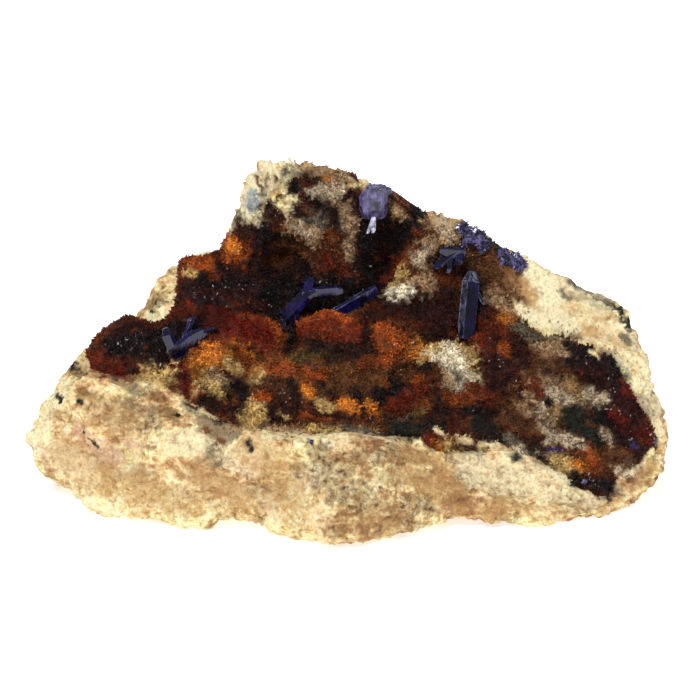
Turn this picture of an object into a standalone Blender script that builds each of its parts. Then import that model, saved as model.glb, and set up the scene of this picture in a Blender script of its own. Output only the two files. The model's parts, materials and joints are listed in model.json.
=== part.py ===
# Azurite with quartz: a block of pale matrix with an open vug across its front and top.
# A crust of small quartz crystals lines the vug, and blades of dark blue azurite grow in it.
# Metres, +Z up. The vug faces -Y, and the block rests on its flat underside at z = 0.

import math
import random
from bisect import bisect

import bmesh
import bpy
from mathutils import Matrix, Vector, noise
from mathutils.bvhtree import BVHTree
from mathutils.geometry import delaunay_2d_cdt

# Driving dimensions in millimetres, turned into metres as each mesh is made.
MM = 0.001
NET_SPACING = 1.8          # between the points of the front surface
BACK_SPACING = 3.2         # between the points of the back and the underside
UNDERCUT = 1.8             # how far the foot rolls under before the flat underside starts
ROUGHNESS = 0.8            # height of the broken rock's larger relief
GRAIN = 0.3                # height of its smaller relief
BEDDING = 0.25             # height of its level beds
BACK_RELIEF = 1.8          # how much rougher the back is
OUTLINE_RELIEF = 0.3       # how much smoother the line between front and back is
CLEARANCE = 0.3            # free gap around whatever sits in or on the rock
CRUST_GAP = 0.4            # free gap between the crust and the rock under it
CRUST_THICKNESS = 0.9      # quartz crust between its crystals' points
CRYSTAL_HEIGHT = 1.25      # how far a crystal's point stands above the crust
CRYSTAL_LEAN = 0.15        # how far a crystal leans away from upright, as a slope
CRUST_INSET = 0.3          # how far the crust's border draws in, as a share of a triangle
RIM_WIDTH = 0.7            # bare rock along the rim before the crust starts
CALM_RADIUS = 1.7          # the crust has no points this near to a blade of azurite
SEED = 11

# The front view looks down by 20 degrees. Places on the front are given in it, as x and height.
# The net of surface points is laid out in a steeper view, which also sees the vug's floor.
VIEW_TILT = math.radians(20)
NET_TILT = math.radians(30)

# Lines that run along the block from its left tip to its right end, each point x, y, z.
LEFT_TIP = (-46.1, -2.5, 8.2)
RIGHT_END = (45.3, -1.0, 8.0)

FOOT = (
    LEFT_TIP, (-44.5, -3.5, 5.6), (-42.8, -5.0, 3.2), (-38.8, -8.0, 2.0), (-35.5, -10.5, 0.2),
    (-31.2, -12.0, 0.3), (-27.4, -13.5, 0.6), (-25.5, -15.0, 0.4), (-20.6, -16.5, 0.4),
    (-17.2, -16.0, 1.7), (-13.1, -17.0, 1.1), (-8.2, -19.5, 0.6), (-0.7, -22.5, 0.7),
    (5.5, -20.5, 1.0), (11.0, -18.0, 1.3), (15.4, -15.5, 1.5), (20.7, -15.5, 0.6),
    (24.8, -15.0, 0.2), (29.1, -13.5, 0.2), (35.2, -11.5, 0.2), (39.1, -8.5, 0.8),
    (42.1, -6.0, 2.0), (44.2, -3.0, 4.6), RIGHT_END)
RIM = (
    LEFT_TIP, (-43.4, -4.5, 9.6), (-40.6, -5.0, 13.5), (-37.1, -4.5, 17.2), (-34.3, -4.5, 17.8),
    (-31.5, -4.5, 17.4), (-28.0, -6.0, 17.9), (-24.5, -8.0, 17.1), (-21.0, -10.5, 15.9),
    (-16.8, -13.5, 14.2), (-12.6, -15.0, 14.0), (-7.0, -16.0, 14.1), (0.0, -16.0, 14.1),
    (5.6, -15.0, 13.0), (9.8, -13.5, 11.2), (12.6, -12.0, 9.2), (14.7, -11.5, 7.4),
    (18.2, -13.0, 5.1), (21.0, -13.8, 4.2), (28.0, -13.2, 2.0), (35.0, -11.2, 0.8),
    (39.2, -8.2, 1.8), (42.3, -5.2, 5.1), RIGHT_END)
LEDGE = (
    LEFT_TIP, (-43.4, -3.8, 10.2), (-40.6, -3.5, 14.6), (-37.1, -2.5, 18.4), (-34.3, -2.8, 18.3),
    (-31.5, -3.0, 17.6), (-28.0, -4.5, 18.2), (-21.0, -9.0, 16.2), (-12.6, -13.0, 13.4),
    (0.0, -14.0, 13.2), (5.6, -12.5, 12.6), (12.6, -9.0, 9.8), (18.2, -7.0, 8.6),
    (21.0, -6.5, 8.5), (28.0, -6.0, 6.3), (35.0, -9.0, 2.0), (39.2, -6.5, 4.1),
    (42.3, -4.2, 7.0), RIGHT_END)
FLOOR = (
    LEFT_TIP, (-43.4, -3.0, 10.6), (-40.6, -2.0, 15.4), (-34.3, -0.5, 18.6), (-28.0, -1.5, 18.8),
    (-21.0, -6.0, 16.2), (-16.8, -8.0, 14.0), (-12.6, -9.5, 12.2), (-7.0, -9.5, 11.6),
    (0.0, -9.5, 11.6), (5.6, -8.0, 11.4), (14.0, -5.5, 10.2), (21.0, -3.0, 9.8),
    (28.0, -3.0, 9.0), (35.0, -5.0, 6.2), (39.2, -4.0, 8.0), (42.3, -3.0, 9.6), RIGHT_END)
CREST = (
    LEFT_TIP, (-43.4, -2.0, 10.9), (-40.6, -0.5, 16.0), (-34.3, 2.5, 20.5), (-28.0, 2.0, 22.0),
    (-21.0, -1.5, 21.8), (-16.8, 0.5, 23.2), (-12.6, 1.0, 23.8), (-7.0, 1.0, 23.6),
    (0.0, 0.5, 23.4), (5.6, 0.0, 22.8), (9.8, 0.5, 21.0), (14.0, 1.5, 20.0), (21.0, 2.5, 20.0),
    (28.0, 1.5, 17.2), (35.0, -1.0, 13.7), (39.2, -1.5, 13.8), (42.3, -2.3, 11.3), RIGHT_END)
VAULT = (
    LEFT_TIP, (-43.4, -1.5, 11.1), (-40.6, 0.5, 16.2), (-34.3, 5.0, 21.5), (-28.0, 5.5, 23.5),
    (-24.5, 4.0, 25.0), (-21.0, 3.5, 26.6), (-16.8, 5.0, 26.4), (-12.6, 7.0, 25.2),
    (-7.0, 8.5, 23.6), (0.0, 8.5, 23.4), (5.6, 8.0, 24.0), (9.8, 7.0, 24.8), (14.0, 7.0, 24.2),
    (21.0, 6.0, 24.0), (28.0, 4.5, 21.4), (35.0, 2.0, 19.9), (39.2, 0.5, 17.5),
    (42.3, -1.0, 12.8), RIGHT_END)
RIDGE = (
    LEFT_TIP, (-44.2, -1.0, 11.4), (-42.5, 0.5, 13.8), (-40.9, 2.0, 16.4), (-37.6, 5.0, 19.5),
    (-35.4, 6.0, 20.4), (-34.0, 7.0, 22.1), (-30.1, 8.0, 23.1), (-29.1, 9.0, 25.0),
    (-28.4, 9.5, 27.3), (-25.5, 10.0, 29.9), (-23.5, 10.5, 31.3), (-19.1, 11.0, 31.7),
    (-17.3, 11.0, 34.5), (-16.4, 10.0, 37.8), (-15.7, 9.5, 40.9), (-14.0, 9.0, 44.2),
    (-11.9, 8.5, 46.1), (-9.8, 8.5, 46.5), (-5.6, 9.0, 45.8), (-0.7, 10.0, 43.7),
    (4.9, 11.0, 41.5), (7.8, 11.5, 39.4), (10.9, 12.0, 37.5), (14.4, 12.0, 36.4),
    (18.4, 12.0, 34.3), (25.1, 11.5, 30.9), (29.8, 10.5, 29.0), (35.5, 9.0, 26.5),
    (38.5, 7.5, 25.1), (39.9, 6.5, 23.2), (41.7, 4.5, 19.1), (43.1, 3.0, 15.1),
    (44.5, 1.0, 11.7), RIGHT_END)
SHOULDER = (
    LEFT_TIP, (-42.5, 3.5, 12.6), (-37.6, 9.5, 17.0), (-34.0, 12.0, 19.0), (-28.4, 15.5, 22.5),
    (-20.0, 18.0, 26.5), (-14.0, 17.5, 33.5), (-9.8, 17.5, 38.0), (-0.7, 18.5, 36.0),
    (10.9, 19.0, 31.0), (18.4, 19.0, 28.0), (25.1, 18.0, 25.5), (35.5, 14.5, 20.5),
    (41.7, 8.5, 14.0), RIGHT_END)
BACK = (
    LEFT_TIP, (-42.5, 4.5, 9.0), (-37.6, 11.5, 10.0), (-28.0, 18.5, 12.0), (-20.0, 21.0, 13.5),
    (-10.0, 23.0, 16.0), (0.0, 23.5, 16.0), (11.0, 23.0, 14.5), (25.0, 20.5, 13.0),
    (35.5, 16.5, 11.0), (41.7, 9.5, 9.0), RIGHT_END)
BACK_FOOT = (
    LEFT_TIP, (-42.5, 2.5, 4.4), (-37.6, 8.5, 1.8), (-28.0, 16.0, 1.0), (-20.0, 19.5, 0.8),
    (-10.0, 21.5, 0.8), (0.0, 22.0, 0.8), (11.0, 21.0, 0.8), (25.0, 18.5, 0.9),
    (35.5, 14.0, 1.0), (41.7, 7.5, 2.8), RIGHT_END)

# Lumps and hollows of the front: x and height in the front view, radius, and how far it stands out.
LUMPS = (
    (-30.5, 21.0, 5.0, 1.2), (-33.8, 18.6, 3.5, 1.0), (-27.5, 18.6, 3.5, 1.0),
    (-27.0, 16.4, 3.0, 1.6), (-23.8, 15.4, 2.5, 1.0), (-18.9, 16.8, 5.5, 2.2),
    (-18.2, 13.6, 2.8, 1.2), (-16.8, 21.5, 6.0, 1.8), (-21.0, 27.0, 3.5, 2.0),
    (-15.5, 27.2, 4.5, 1.5), (-21.5, 31.0, 3.5, 1.0), (-13.0, 11.4, 3.2, 2.2),
    (-2.5, 21.4, 6.0, 2.0), (5.8, 20.2, 4.5, 2.0), (0.8, 11.8, 2.5, 1.0),
    (3.6, 12.0, 2.5, 1.0), (14.7, 16.8, 5.5, 2.4), (8.2, 13.6, 3.5, 0.9),
    (21.0, 18.8, 6.0, 1.6), (18.2, 13.8, 3.0, 1.2), (35.0, 17.8, 4.5, 2.0),
    (39.9, 11.2, 3.5, 1.0), (28.0, 12.2, 3.0, 1.2), (32.2, 9.0, 3.0, 1.3),
    (8.8, 34.5, 3.0, 1.6), (6.5, 30.5, 3.0, 1.6), (12.9, 36.0, 4.0, 1.6),
    (29.4, 19.2, 3.0, 1.0), (22.8, 5.0, 1.3, 0.8), (26.0, 5.2, 1.4, 0.8),
    (8.4, 9.0, 4.0, 0.8), (-9.0, 41.0, 3.5, 0.8), (-4.0, 37.0, 4.0, 1.0),
    (6.0, 34.4, 6.5, -4.6), (8.6, 36.2, 3.4, -1.2), (3.8, 30.4, 4.6, -3.2),
    (-8.6, 32.4, 5.5, -4.5), (-16.1, 11.4, 2.8, -2.4),
    (-9.1, 20.8, 3.2, -2.4), (7.7, 15.4, 3.6, -1.8), (-3.0, 16.2, 4.0, -1.2),
    (-8.4, 43.2, 1.6, -1.2), (-11.2, 40.1, 1.5, -1.0), (-5.3, 39.9, 1.8, -1.0),
    (17.0, 31.0, 3.5, -1.5), (31.0, 14.5, 3.0, -1.4), (24.5, 8.0, 3.0, -0.8),
    (-33.0, 6.0, 6.0, 0.9), (-25.0, 2.0, 5.0, -0.9), (-15.0, 3.0, 6.0, 0.8),
    (-8.0, -1.0, 4.5, -0.8), (3.0, 2.0, 6.5, 1.0), (10.0, -1.5, 4.5, -0.9),
    (-39.0, 9.5, 4.0, -0.9), (-20.5, -3.5, 3.0, 0.8), (32.0, 26.5, 6.0, 0.8),
    (-27.0, 28.0, 3.5, 0.9), (-13.5, 40.5, 3.5, 0.8), (38.5, 21.0, 4.0, -0.6))

# Flat breaks that were struck off the back: a point on each, and the way that it faces.
BREAKS = (
    ((-22.0, 18.6, 12.0), (-0.42, 0.90, 0.05)), ((-34.0, 9.5, 12.0), (-0.75, 0.62, 0.25)),
    ((26.0, 17.6, 12.0), (0.44, 0.89, 0.12)), ((37.0, 12.0, 12.0), (0.80, 0.55, 0.20)),
    ((4.0, 21.3, 22.0), (0.10, 0.93, 0.36)), ((-9.0, 16.6, 37.0), (-0.15, 0.85, 0.50)),
    ((-24.0, 15.6, 24.0), (-0.40, 0.62, 0.68)), ((26.0, 16.2, 24.0), (0.30, 0.66, 0.69)))

# The crust's edge in the front view. It also stays behind the rim.
QUARTZ_EDGE = (
    (-37.0, 19.4), (-35.2, 21.4), (-33.8, 23.4), (-30.0, 24.2), (-28.2, 23.6), (-24.2, 24.6),
    (-24.4, 28.6), (-25.4, 30.6), (-22.6, 32.6), (-18.4, 33.2), (-16.6, 36.0), (-15.2, 38.0),
    (-12.4, 38.0), (-11.0, 42.2), (-8.6, 44.4), (-4.8, 44.8), (0.4, 43.6), (5.0, 42.0),
    (11.0, 38.6), (15.0, 36.6), (19.8, 33.2), (22.0, 31.4), (22.0, 28.6), (24.0, 24.0),
    (27.4, 21.8), (31.5, 20.8), (36.4, 19.6), (39.4, 14.6), (42.2, 11.2), (42.3, 7.0),
    (40.2, 3.6), (37.0, 0.2), (35.0, -1.2), (31.5, 0.8), (26.6, 3.6), (22.4, 5.4),
    (16.8, 5.2), (12.6, 5.6), (9.0, 4.6), (0.0, 5.0), (-12.0, 5.0), (-17.0, 6.8),
    (-21.0, 11.0), (-23.8, 12.8), (-26.0, 14.6), (-28.6, 16.4),
    (-31.4, 15.2), (-34.4, 15.6), (-36.2, 17.2))

# Azurite blades, joined into one solid where they have grown together. A blade's foot is a place
# in the front view with its distance in front of the rock, or else a share of the way along the
# cluster's first blade. Then come its run to the tip, across, up and out of the front view, its
# width, its thickness and its turn about its own length in degrees.
AZURITE = {
    "azurite_left_cluster": (
        ((-24.9, 18.8, 1.0), (4.6, 3.5, 1.2), 2.3, 1.3, 28),
        (0.10, (-1.4, 3.4, 0.9), 1.7, 1.1, -25),
        (0.30, (1.6, 4.3, 0.8), 0.9, 0.7, 40),
        (0.85, (2.3, 0.9, 0.5), 0.5, 0.45, 0)),
    "azurite_centre_cluster": (
        ((-9.2, 23.8, 0.8), (4.0, 4.4, 0.8), 2.3, 1.2, -35),
        (0.85, (4.8, 0.4, -0.3), 1.5, 1.0, 20),
        (0.70, (0.9, 2.8, 0.2), 1.5, 0.8, 10),
        (0.05, (-0.5, -2.0, 1.0), 0.7, 0.5, 20),
        (0.08, (-1.1, 1.0, 0.6), 0.6, 0.5, 20),
        (0.30, (0.8, -3.8, -0.2), 1.7, 1.4, 35)),
    "azurite_right_blade": (
        ((3.8, 28.1, 2.4), (-6.6, -3.9, 2.8), 1.9, 0.9, -30),),
    "azurite_long_prism": (
        ((16.2, 21.0, 0.8), (0.9, 9.6, -1.2), 2.6, 2.0, 25),
        (0.88, (1.9, -3.6, 0.3), 0.55, 0.5, 0)),
    "azurite_upper_cluster": (
        ((16.2, 33.2, 2.2), (-3.6, 0.2, 1.1), 1.4, 0.9, -20),
        (0.40, (-2.8, -2.2, 0.4), 1.4, 0.8, 30),
        (0.55, (-0.3, -3.0, 0.5), 0.9, 0.7, 0),
        (0.15, (-0.5, -1.9, 0.8), 1.3, 0.9, 15)),
    "azurite_top_cluster": (
        ((3.4, 38.2, 2.0), (-0.2, 4.4, 2.8), 4.1, 1.2, 0),
        (0.75, (2.6, 0.5, 0.0), 1.5, 1.1, 20),
        (0.15, (-0.1, -2.9, 0.9), 0.7, 0.5, 30),
        (0.10, (-0.9, -2.8, 0.5), 0.45, 0.45, 0)),
    "azurite_ridge_left": (
        ((15.4, 36.6, -0.1), (4.2, -2.2, 0.3), 1.7, 1.3, 0),
        (0.15, (0.2, 1.3, 0.5), 1.2, 1.0, 30),
        (0.45, (0.5, 1.2, 0.6), 1.3, 1.0, -20),
        (0.70, (0.3, 1.3, 0.6), 1.1, 0.9, 10),
        (0.35, (-0.8, -1.5, 0.8), 1.2, 0.9, 0),
        (0.85, (-0.2, -1.4, 0.7), 1.0, 0.8, 25)),
    "azurite_ridge_right": (
        ((21.0, 33.0, -0.1), (3.9, -1.5, 0.3), 1.6, 1.2, 0),
        (0.20, (0.1, 1.2, 0.5), 1.1, 0.9, 20),
        (0.55, (0.5, 1.1, 0.6), 1.2, 0.9, -20),
        (0.25, (-0.9, -1.0, 0.7), 1.1, 0.9, 0),
        (0.75, (0.2, -1.2, 0.7), 1.0, 0.8, 30)),
    "azurite_grain_front": (((-5.4, 6.4, -0.5), (0.1, 0.8, 1.1), 1.1, 0.9, 0),),
    "azurite_grain_right": (((42.5, 6.0, -0.5), (0.3, 1.2, 1.0), 1.0, 0.8, 0),),
    "azurite_grain_low": (((32.5, 0.6, -0.4), (0.3, 0.8, 1.1), 1.0, 0.8, 0),),
}

COLOURS = {
    "matrix": (0.80, 0.68, 0.47, 0.95),
    "quartz": (0.36, 0.13, 0.05, 0.45),
    "azurite": (0.02, 0.02, 0.13, 0.12),
}


def clear_scene():
    for item in list(bpy.data.objects):
        bpy.data.objects.remove(item, do_unlink=True)


def make_material(name):
    red, green, blue, roughness = COLOURS[name]
    material = bpy.data.materials.new(name)
    material.use_nodes = True
    shader = material.node_tree.nodes["Principled BSDF"]
    shader.inputs["Base Color"].default_value = (red, green, blue, 1.0)
    shader.inputs["Roughness"].default_value = roughness
    shader.inputs["Metallic"].default_value = 0.0
    return material


def seen(point, tilt):
    # x, height and depth of a point in a view from the front that looks down by tilt
    x, y, z = point
    return x, y * math.sin(tilt) + z * math.cos(tilt), y * math.cos(tilt) - z * math.sin(tilt)


def placed(x, height, depth, tilt):
    # the point with this x, height and depth in that view
    return Vector((
        x,
        height * math.sin(tilt) + depth * math.cos(tilt),
        height * math.cos(tilt) - depth * math.sin(tilt)))


def slope(before, here, after, axis):
    # slope of a line at one of its points, level where the line turns back
    left = (here[axis] - before[axis]) / max(here[0] - before[0], 1e-6)
    right = (after[axis] - here[axis]) / max(after[0] - here[0], 1e-6)
    if left * right <= 0:
        return 0.0
    return 2 * left * right / (left + right)


def on_line(line, x):
    # the point of a line at x, on a smooth curve through the line's points
    last = len(line) - 1
    index = min(max(bisect([point[0] for point in line], x) - 1, 0), last - 1)
    start, end = line[index], line[index + 1]
    run = end[0] - start[0]
    t = min(max((x - start[0]) / run, 0.0), 1.0)
    values = [x]
    for axis in (1, 2):
        rise = (end[axis] - start[axis]) / run
        leaving = slope(line[index - 1], start, end, axis) if index > 0 else rise
        arriving = slope(start, end, line[index + 2], axis) if index + 2 <= last else rise
        values.append(
            start[axis] * (1 + 2 * t) * (1 - t) ** 2 + end[axis] * t * t * (3 - 2 * t)
            + run * leaving * t * (1 - t) ** 2 - run * arriving * t * t * (1 - t))
    return Vector(values)


def underside(line, inward):
    # the line where the flat underside begins, a little inside a foot line and below it
    points = []
    for x, y, z in line[1:-1]:
        points.append((x, y + inward * UNDERCUT, max(0.0, z - UNDERCUT)))
    return (line[0], *points, line[-1])


# Each side's lines in order from the foot to the ridge, how far the surface bows between each
# pair of them, and the lines that show as an edge.
UNDER_FRONT = underside(FOOT, 1)
UNDER_BACK = underside(BACK_FOOT, -1)
FRONT_LINES = (FOOT, RIM, LEDGE, FLOOR, CREST, VAULT, RIDGE)
FRONT_BULGES = (-0.12, 0.0, 0.0, 0.05, 0.0, 0.03)
FRONT_CREASES = (RIM,)
BACK_LINES = (FOOT, UNDER_FRONT, UNDER_BACK, BACK_FOOT, BACK, SHOULDER, RIDGE)
BACK_BULGES = (0.0, 0.0, 0.0, 0.10, 0.08, 0.06)
BACK_CREASES = (UNDER_FRONT, UNDER_BACK, BACK_FOOT, SHOULDER)


def sheet_point(lines, bulges, x, height):
    # the surface between two neighbouring lines, bowed by a share of their distance
    stops = []
    for line in lines:
        _, level, depth = seen(on_line(line, x), NET_TILT)
        if stops:
            level = max(level, stops[-1][0] + 0.02)
        stops.append((level, depth))
    height = min(max(height, stops[0][0]), stops[-1][0])
    for low, high, bulge in zip(stops, stops[1:], bulges):
        if height <= high[0]:
            break
    t = (height - low[0]) / (high[0] - low[0])
    bow = 4 * bulge * t * (1 - t) * math.hypot(high[0] - low[0], high[1] - low[1])
    return placed(x, height, low[1] + (high[1] - low[1]) * t + bow, NET_TILT)


def walk(line, spacing):
    # points along a line at an even spacing, ends included
    fine = []
    steps = 1200
    for step in range(steps + 1):
        x = line[0][0] + (line[-1][0] - line[0][0]) * step / steps
        fine.append(on_line(line, x))
    points = [fine[0]]
    for point in fine[1:]:
        if (point - points[-1]).length >= spacing:
            points.append(point)
    if (points[-1] - fine[-1]).length < 0.6 * spacing:
        points.pop()
    return points + [fine[-1]]


def inside(x, height, polygon):
    # whether a place of a front view lies within a closed outline
    within = False
    for (x1, h1), (x2, h2) in zip(polygon, polygon[1:] + polygon[:1]):
        if (h1 > height) != (h2 > height) and x < x1 + (height - h1) * (x2 - x1) / (h2 - h1):
            within = not within
    return within


def edge_distance(x, height, polygon):
    # distance from a place to the nearest side of a closed outline
    best = 1e9
    for (x1, h1), (x2, h2) in zip(polygon, polygon[1:] + polygon[:1]):
        length = max((x2 - x1) ** 2 + (h2 - h1) ** 2, 1e-9)
        t = min(max(((x - x1) * (x2 - x1) + (height - h1) * (h2 - h1)) / length, 0.0), 1.0)
        best = min(best, math.hypot(x - x1 - t * (x2 - x1), height - h1 - t * (h2 - h1)))
    return best


def net(outline, creases, spacing):
    # Corners and triangles of a net of equal triangles over an outline, with edges along its
    # creases. A corner is its place, its point in space if it has one already, and the third of
    # the net that it belongs to.
    corners = [(Vector(seen(point, NET_TILT)[:2]), point, None) for point in outline]
    flat = [tuple(place) for place, _, _ in corners]
    ring = list(range(len(flat)))
    edges = []
    crease_places = []
    for line in creases:
        previous = None
        for point in walk(line, spacing):
            place = Vector(seen(point, NET_TILT)[:2])
            near = [other for other in crease_places if (other - place).length < 0.5 * spacing]
            if edge_distance(*place, flat) < 0.6 * spacing or near:
                previous = None
                continue
            corners.append((place, point, None))
            crease_places.append(place)
            if previous is not None:
                edges.append((previous, len(corners) - 1))
            previous = len(corners) - 1

    step = spacing * math.sqrt(0.75)
    low_x, high_x = min(place[0] for place in flat), max(place[0] for place in flat)
    low_h, high_h = min(place[1] for place in flat), max(place[1] for place in flat)
    for row in range(int((high_h - low_h) / step) + 2):
        for column in range(-row, int((high_x - low_x) / spacing) + 2):
            place = Vector((low_x + (column + row / 2) * spacing, low_h + row * step))
            if not inside(*place, flat) or edge_distance(*place, flat) < 0.55 * spacing:
                continue
            if all((other - place).length > 0.6 * spacing for other in crease_places):
                corners.append((place, None, (column - row) % 3))

    places = [place for place, _, _ in corners]
    found, _, faces, sources, _, _ = delaunay_2d_cdt(places, edges, [ring], 1, 1e-5)
    first = [source[0] for source in sources]
    triangles = []
    for face in faces:
        a, b, c = (found[index] for index in face)
        if (b - a).cross(c - a) < 0:
            face = face[::-1]
        triangles.append(tuple(first[index] for index in face))
    return corners, triangles


def relief(point, normal):
    # broken rock: large relief, small relief and faint level beds
    large = noise.fractal(point / 9 + Vector((3.1, 7.7, 1.9)), 1.0, 2.0, 3)
    small = noise.fractal(point / 3.2 + Vector((8.4, 0.3, 5.5)), 1.0, 2.0, 2)
    beds = math.sin(point.z * 1.6 + 2.5 * noise.noise(point / 12))
    upright = 1 - abs(normal.z)
    return ROUGHNESS * large + GRAIN * small + BEDDING * upright * beds


def build_rock():
    # the block as a bmesh in millimetres, with the front net's triangles and corner kinds
    outline = walk(FOOT, NET_SPACING) + walk(RIDGE, NET_SPACING)[-2:0:-1]
    front_corners, front_faces = net(outline, FRONT_CREASES, NET_SPACING)
    back_corners, back_faces = net(outline, BACK_CREASES, BACK_SPACING)
    rim_count = len(outline)

    rock = bmesh.new()
    for place, point, _ in front_corners:
        rock.verts.new(point or sheet_point(FRONT_LINES, FRONT_BULGES, *place))
    back_start = len(rock.verts)
    for place, point, _ in back_corners[rim_count:]:
        point = point or sheet_point(BACK_LINES, BACK_BULGES, *place)
        if point.z < 1e-4:
            point.z = 0.0
        rock.verts.new(point)
    rock.verts.ensure_lookup_table()

    for face in front_faces:
        rock.faces.new([rock.verts[index] for index in face])
    shift = back_start - rim_count
    for face in back_faces:
        indices = [index if index < rim_count else index + shift for index in face]
        rock.faces.new([rock.verts[index] for index in reversed(indices)])
    rock.normal_update()

    vug = [rock.verts[index] for index in range(rim_count, back_start)
           if inside(*seen(rock.verts[index].co, VIEW_TILT)[:2], QUARTZ_EDGE)]
    for vert in rock.verts[back_start:]:
        for place, way in BREAKS:
            facing = Vector(way).normalized()
            beyond = (vert.co - Vector(place)).dot(facing)
            if beyond > 0 and vert.co.z > 0:
                vert.co -= beyond * facing
    for _ in range(2):
        bmesh.ops.smooth_vert(
            rock, verts=vug, factor=0.5, use_axis_x=True, use_axis_y=True, use_axis_z=True)
    rock.normal_update()
    shape_relief(rock, rim_count, back_start)
    rock.normal_update()
    return rock, front_faces, [kind for _, _, kind in front_corners]


def shape_relief(rock, rim_count, back_start):
    # roughness everywhere but the flat underside, then the vug's lumps and hollows
    moves = {}
    for vert in rock.verts:
        if vert.co.z == 0.0:
            continue
        amount = relief(vert.co, vert.normal)
        if vert.index < rim_count:
            amount *= OUTLINE_RELIEF
        if vert.index >= back_start:
            amount *= BACK_RELIEF
        moves[vert] = vert.normal * amount
    for vert, move in moves.items():
        vert.co += move
        vert.co.z = max(vert.co.z, 0.05)
    rock.normal_update()

    front = [rock.verts[index] for index in range(rim_count, back_start)]
    places = {vert: seen(vert.co, VIEW_TILT)[:2] for vert in front}
    for x, height, radius, amount in LUMPS:
        centre = min(front, key=lambda v: math.dist(places[v], (x, height))).co.copy()
        direction = Vector((0, 0, 0))
        near = [vert for vert in front if (vert.co - centre).length < radius]
        for vert in near:
            direction += vert.normal
        direction.normalize()
        for vert in near:
            fall = 1 - ((vert.co - centre).length / radius) ** 2
            way = (vert.normal + direction).normalized()
            vert.co += way * amount * fall * fall
        rock.normal_update()


def new_object(name, mesh_data, material, parent):
    # an object in metres from a bmesh in millimetres
    bmesh.ops.scale(mesh_data, vec=(MM, MM, MM), verts=mesh_data.verts)
    mesh = bpy.data.meshes.new(name)
    mesh_data.to_mesh(mesh)
    mesh_data.free()
    mesh.materials.append(material)
    item = bpy.data.objects.new(name, mesh)
    item.parent = parent
    bpy.context.scene.collection.objects.link(item)
    return item


def tidy_patch(faces):
    # drop triangles that hang on by less than two sides, and parts that only touch at a corner
    faces = set(faces)
    while True:
        sides = {}
        for face in faces:
            for a, b in zip(face, face[1:] + face[:1]):
                sides.setdefault(frozenset((a, b)), []).append(face)
        loose = {face for face in faces
                 if sum(len(sides[frozenset(pair)]) > 1
                        for pair in zip(face, face[1:] + face[:1])) < 2}
        open_ends = {}
        for side, owners in sides.items():
            if len(owners) == 1:
                for corner in side:
                    open_ends[corner] = open_ends.get(corner, 0) + 1
        pinched = {corner for corner, count in open_ends.items() if count > 2}
        loose |= {face for face in faces if pinched & set(face)}
        if not loose:
            return sorted(faces)
        faces -= loose


def crust(rock, faces, kinds, calm, chance):
    # a shell on part of the front net. Every third corner of the net is raised to a point, so
    # that six triangles round it make a crystal.
    sides = {}
    round_corner = {}
    for face in faces:
        for a, b in zip(face, face[1:] + face[:1]):
            sides[(a, b)] = face
        for corner in face:
            round_corner.setdefault(corner, []).append(face)
    edge = [(a, b) for a, b in sides if (b, a) not in sides]
    border = {corner for pair in edge for corner in pair}

    shell = bmesh.new()
    inner = {}
    outer = {}
    for corner in sorted(round_corner):
        vert = rock.verts[corner]
        base = vert.co.copy()
        if corner in border:
            middle = Vector((0, 0, 0))
            for face in round_corner[corner]:
                for index in face:
                    middle += rock.verts[index].co / (3 * len(round_corner[corner]))
            base = base.lerp(middle, CRUST_INSET)
        bend = sum(vert.normal.dot((e.other_vert(vert).co - vert.co).normalized())
                   for e in vert.link_edges) / len(vert.link_edges)
        height = CRUST_THICKNESS * chance.uniform(0.85, 1.15)
        if kinds[corner] == 0 and corner not in border:
            near_blade = any(calm_distance(vert.co, blade) < CALM_RADIUS for blade in calm)
            if not near_blade:
                share = min(max(1 - 2.5 * bend, 0.15), 1.0)
                height += CRYSTAL_HEIGHT * share * chance.uniform(0.7, 1.2)
        lean = Vector((chance.uniform(-1, 1), chance.uniform(-1, 1), chance.uniform(-1, 1)))
        way = (vert.normal + CRYSTAL_LEAN * lean).normalized()
        base += vert.normal * CRUST_GAP
        inner[corner] = shell.verts.new(base)
        outer[corner] = shell.verts.new(base + way * height)
    for face in faces:
        shell.faces.new([outer[index] for index in face])
        shell.faces.new([inner[index] for index in reversed(face)])
    for a, b in edge:
        shell.faces.new((inner[a], inner[b], outer[b], outer[a]))
    bmesh.ops.triangulate(shell, faces=shell.faces)
    shell.normal_update()
    return shell


def calm_distance(point, blade):
    # distance from a point to a blade's middle line, less half the blade's width
    start, end, width = blade
    along = end - start
    t = min(max((point - start).dot(along) / along.length_squared, 0.0), 1.0)
    return (point - start - t * along).length - width / 2


def blade_ends(surface, blades):
    # foot and tip of each blade of a cluster in space
    sight = placed(0, 0, 1, VIEW_TILT)
    ends = []
    for foot, run, *_ in blades:
        if isinstance(foot, float):
            start = ends[0][0].lerp(ends[0][1], foot)
        else:
            x, height, lift = foot
            start = surface.ray_cast(placed(x, height, -200, VIEW_TILT), sight)[0] - sight * lift
        ends.append((start, start + placed(run[0], run[1], -run[2], VIEW_TILT)))
    return ends


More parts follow.
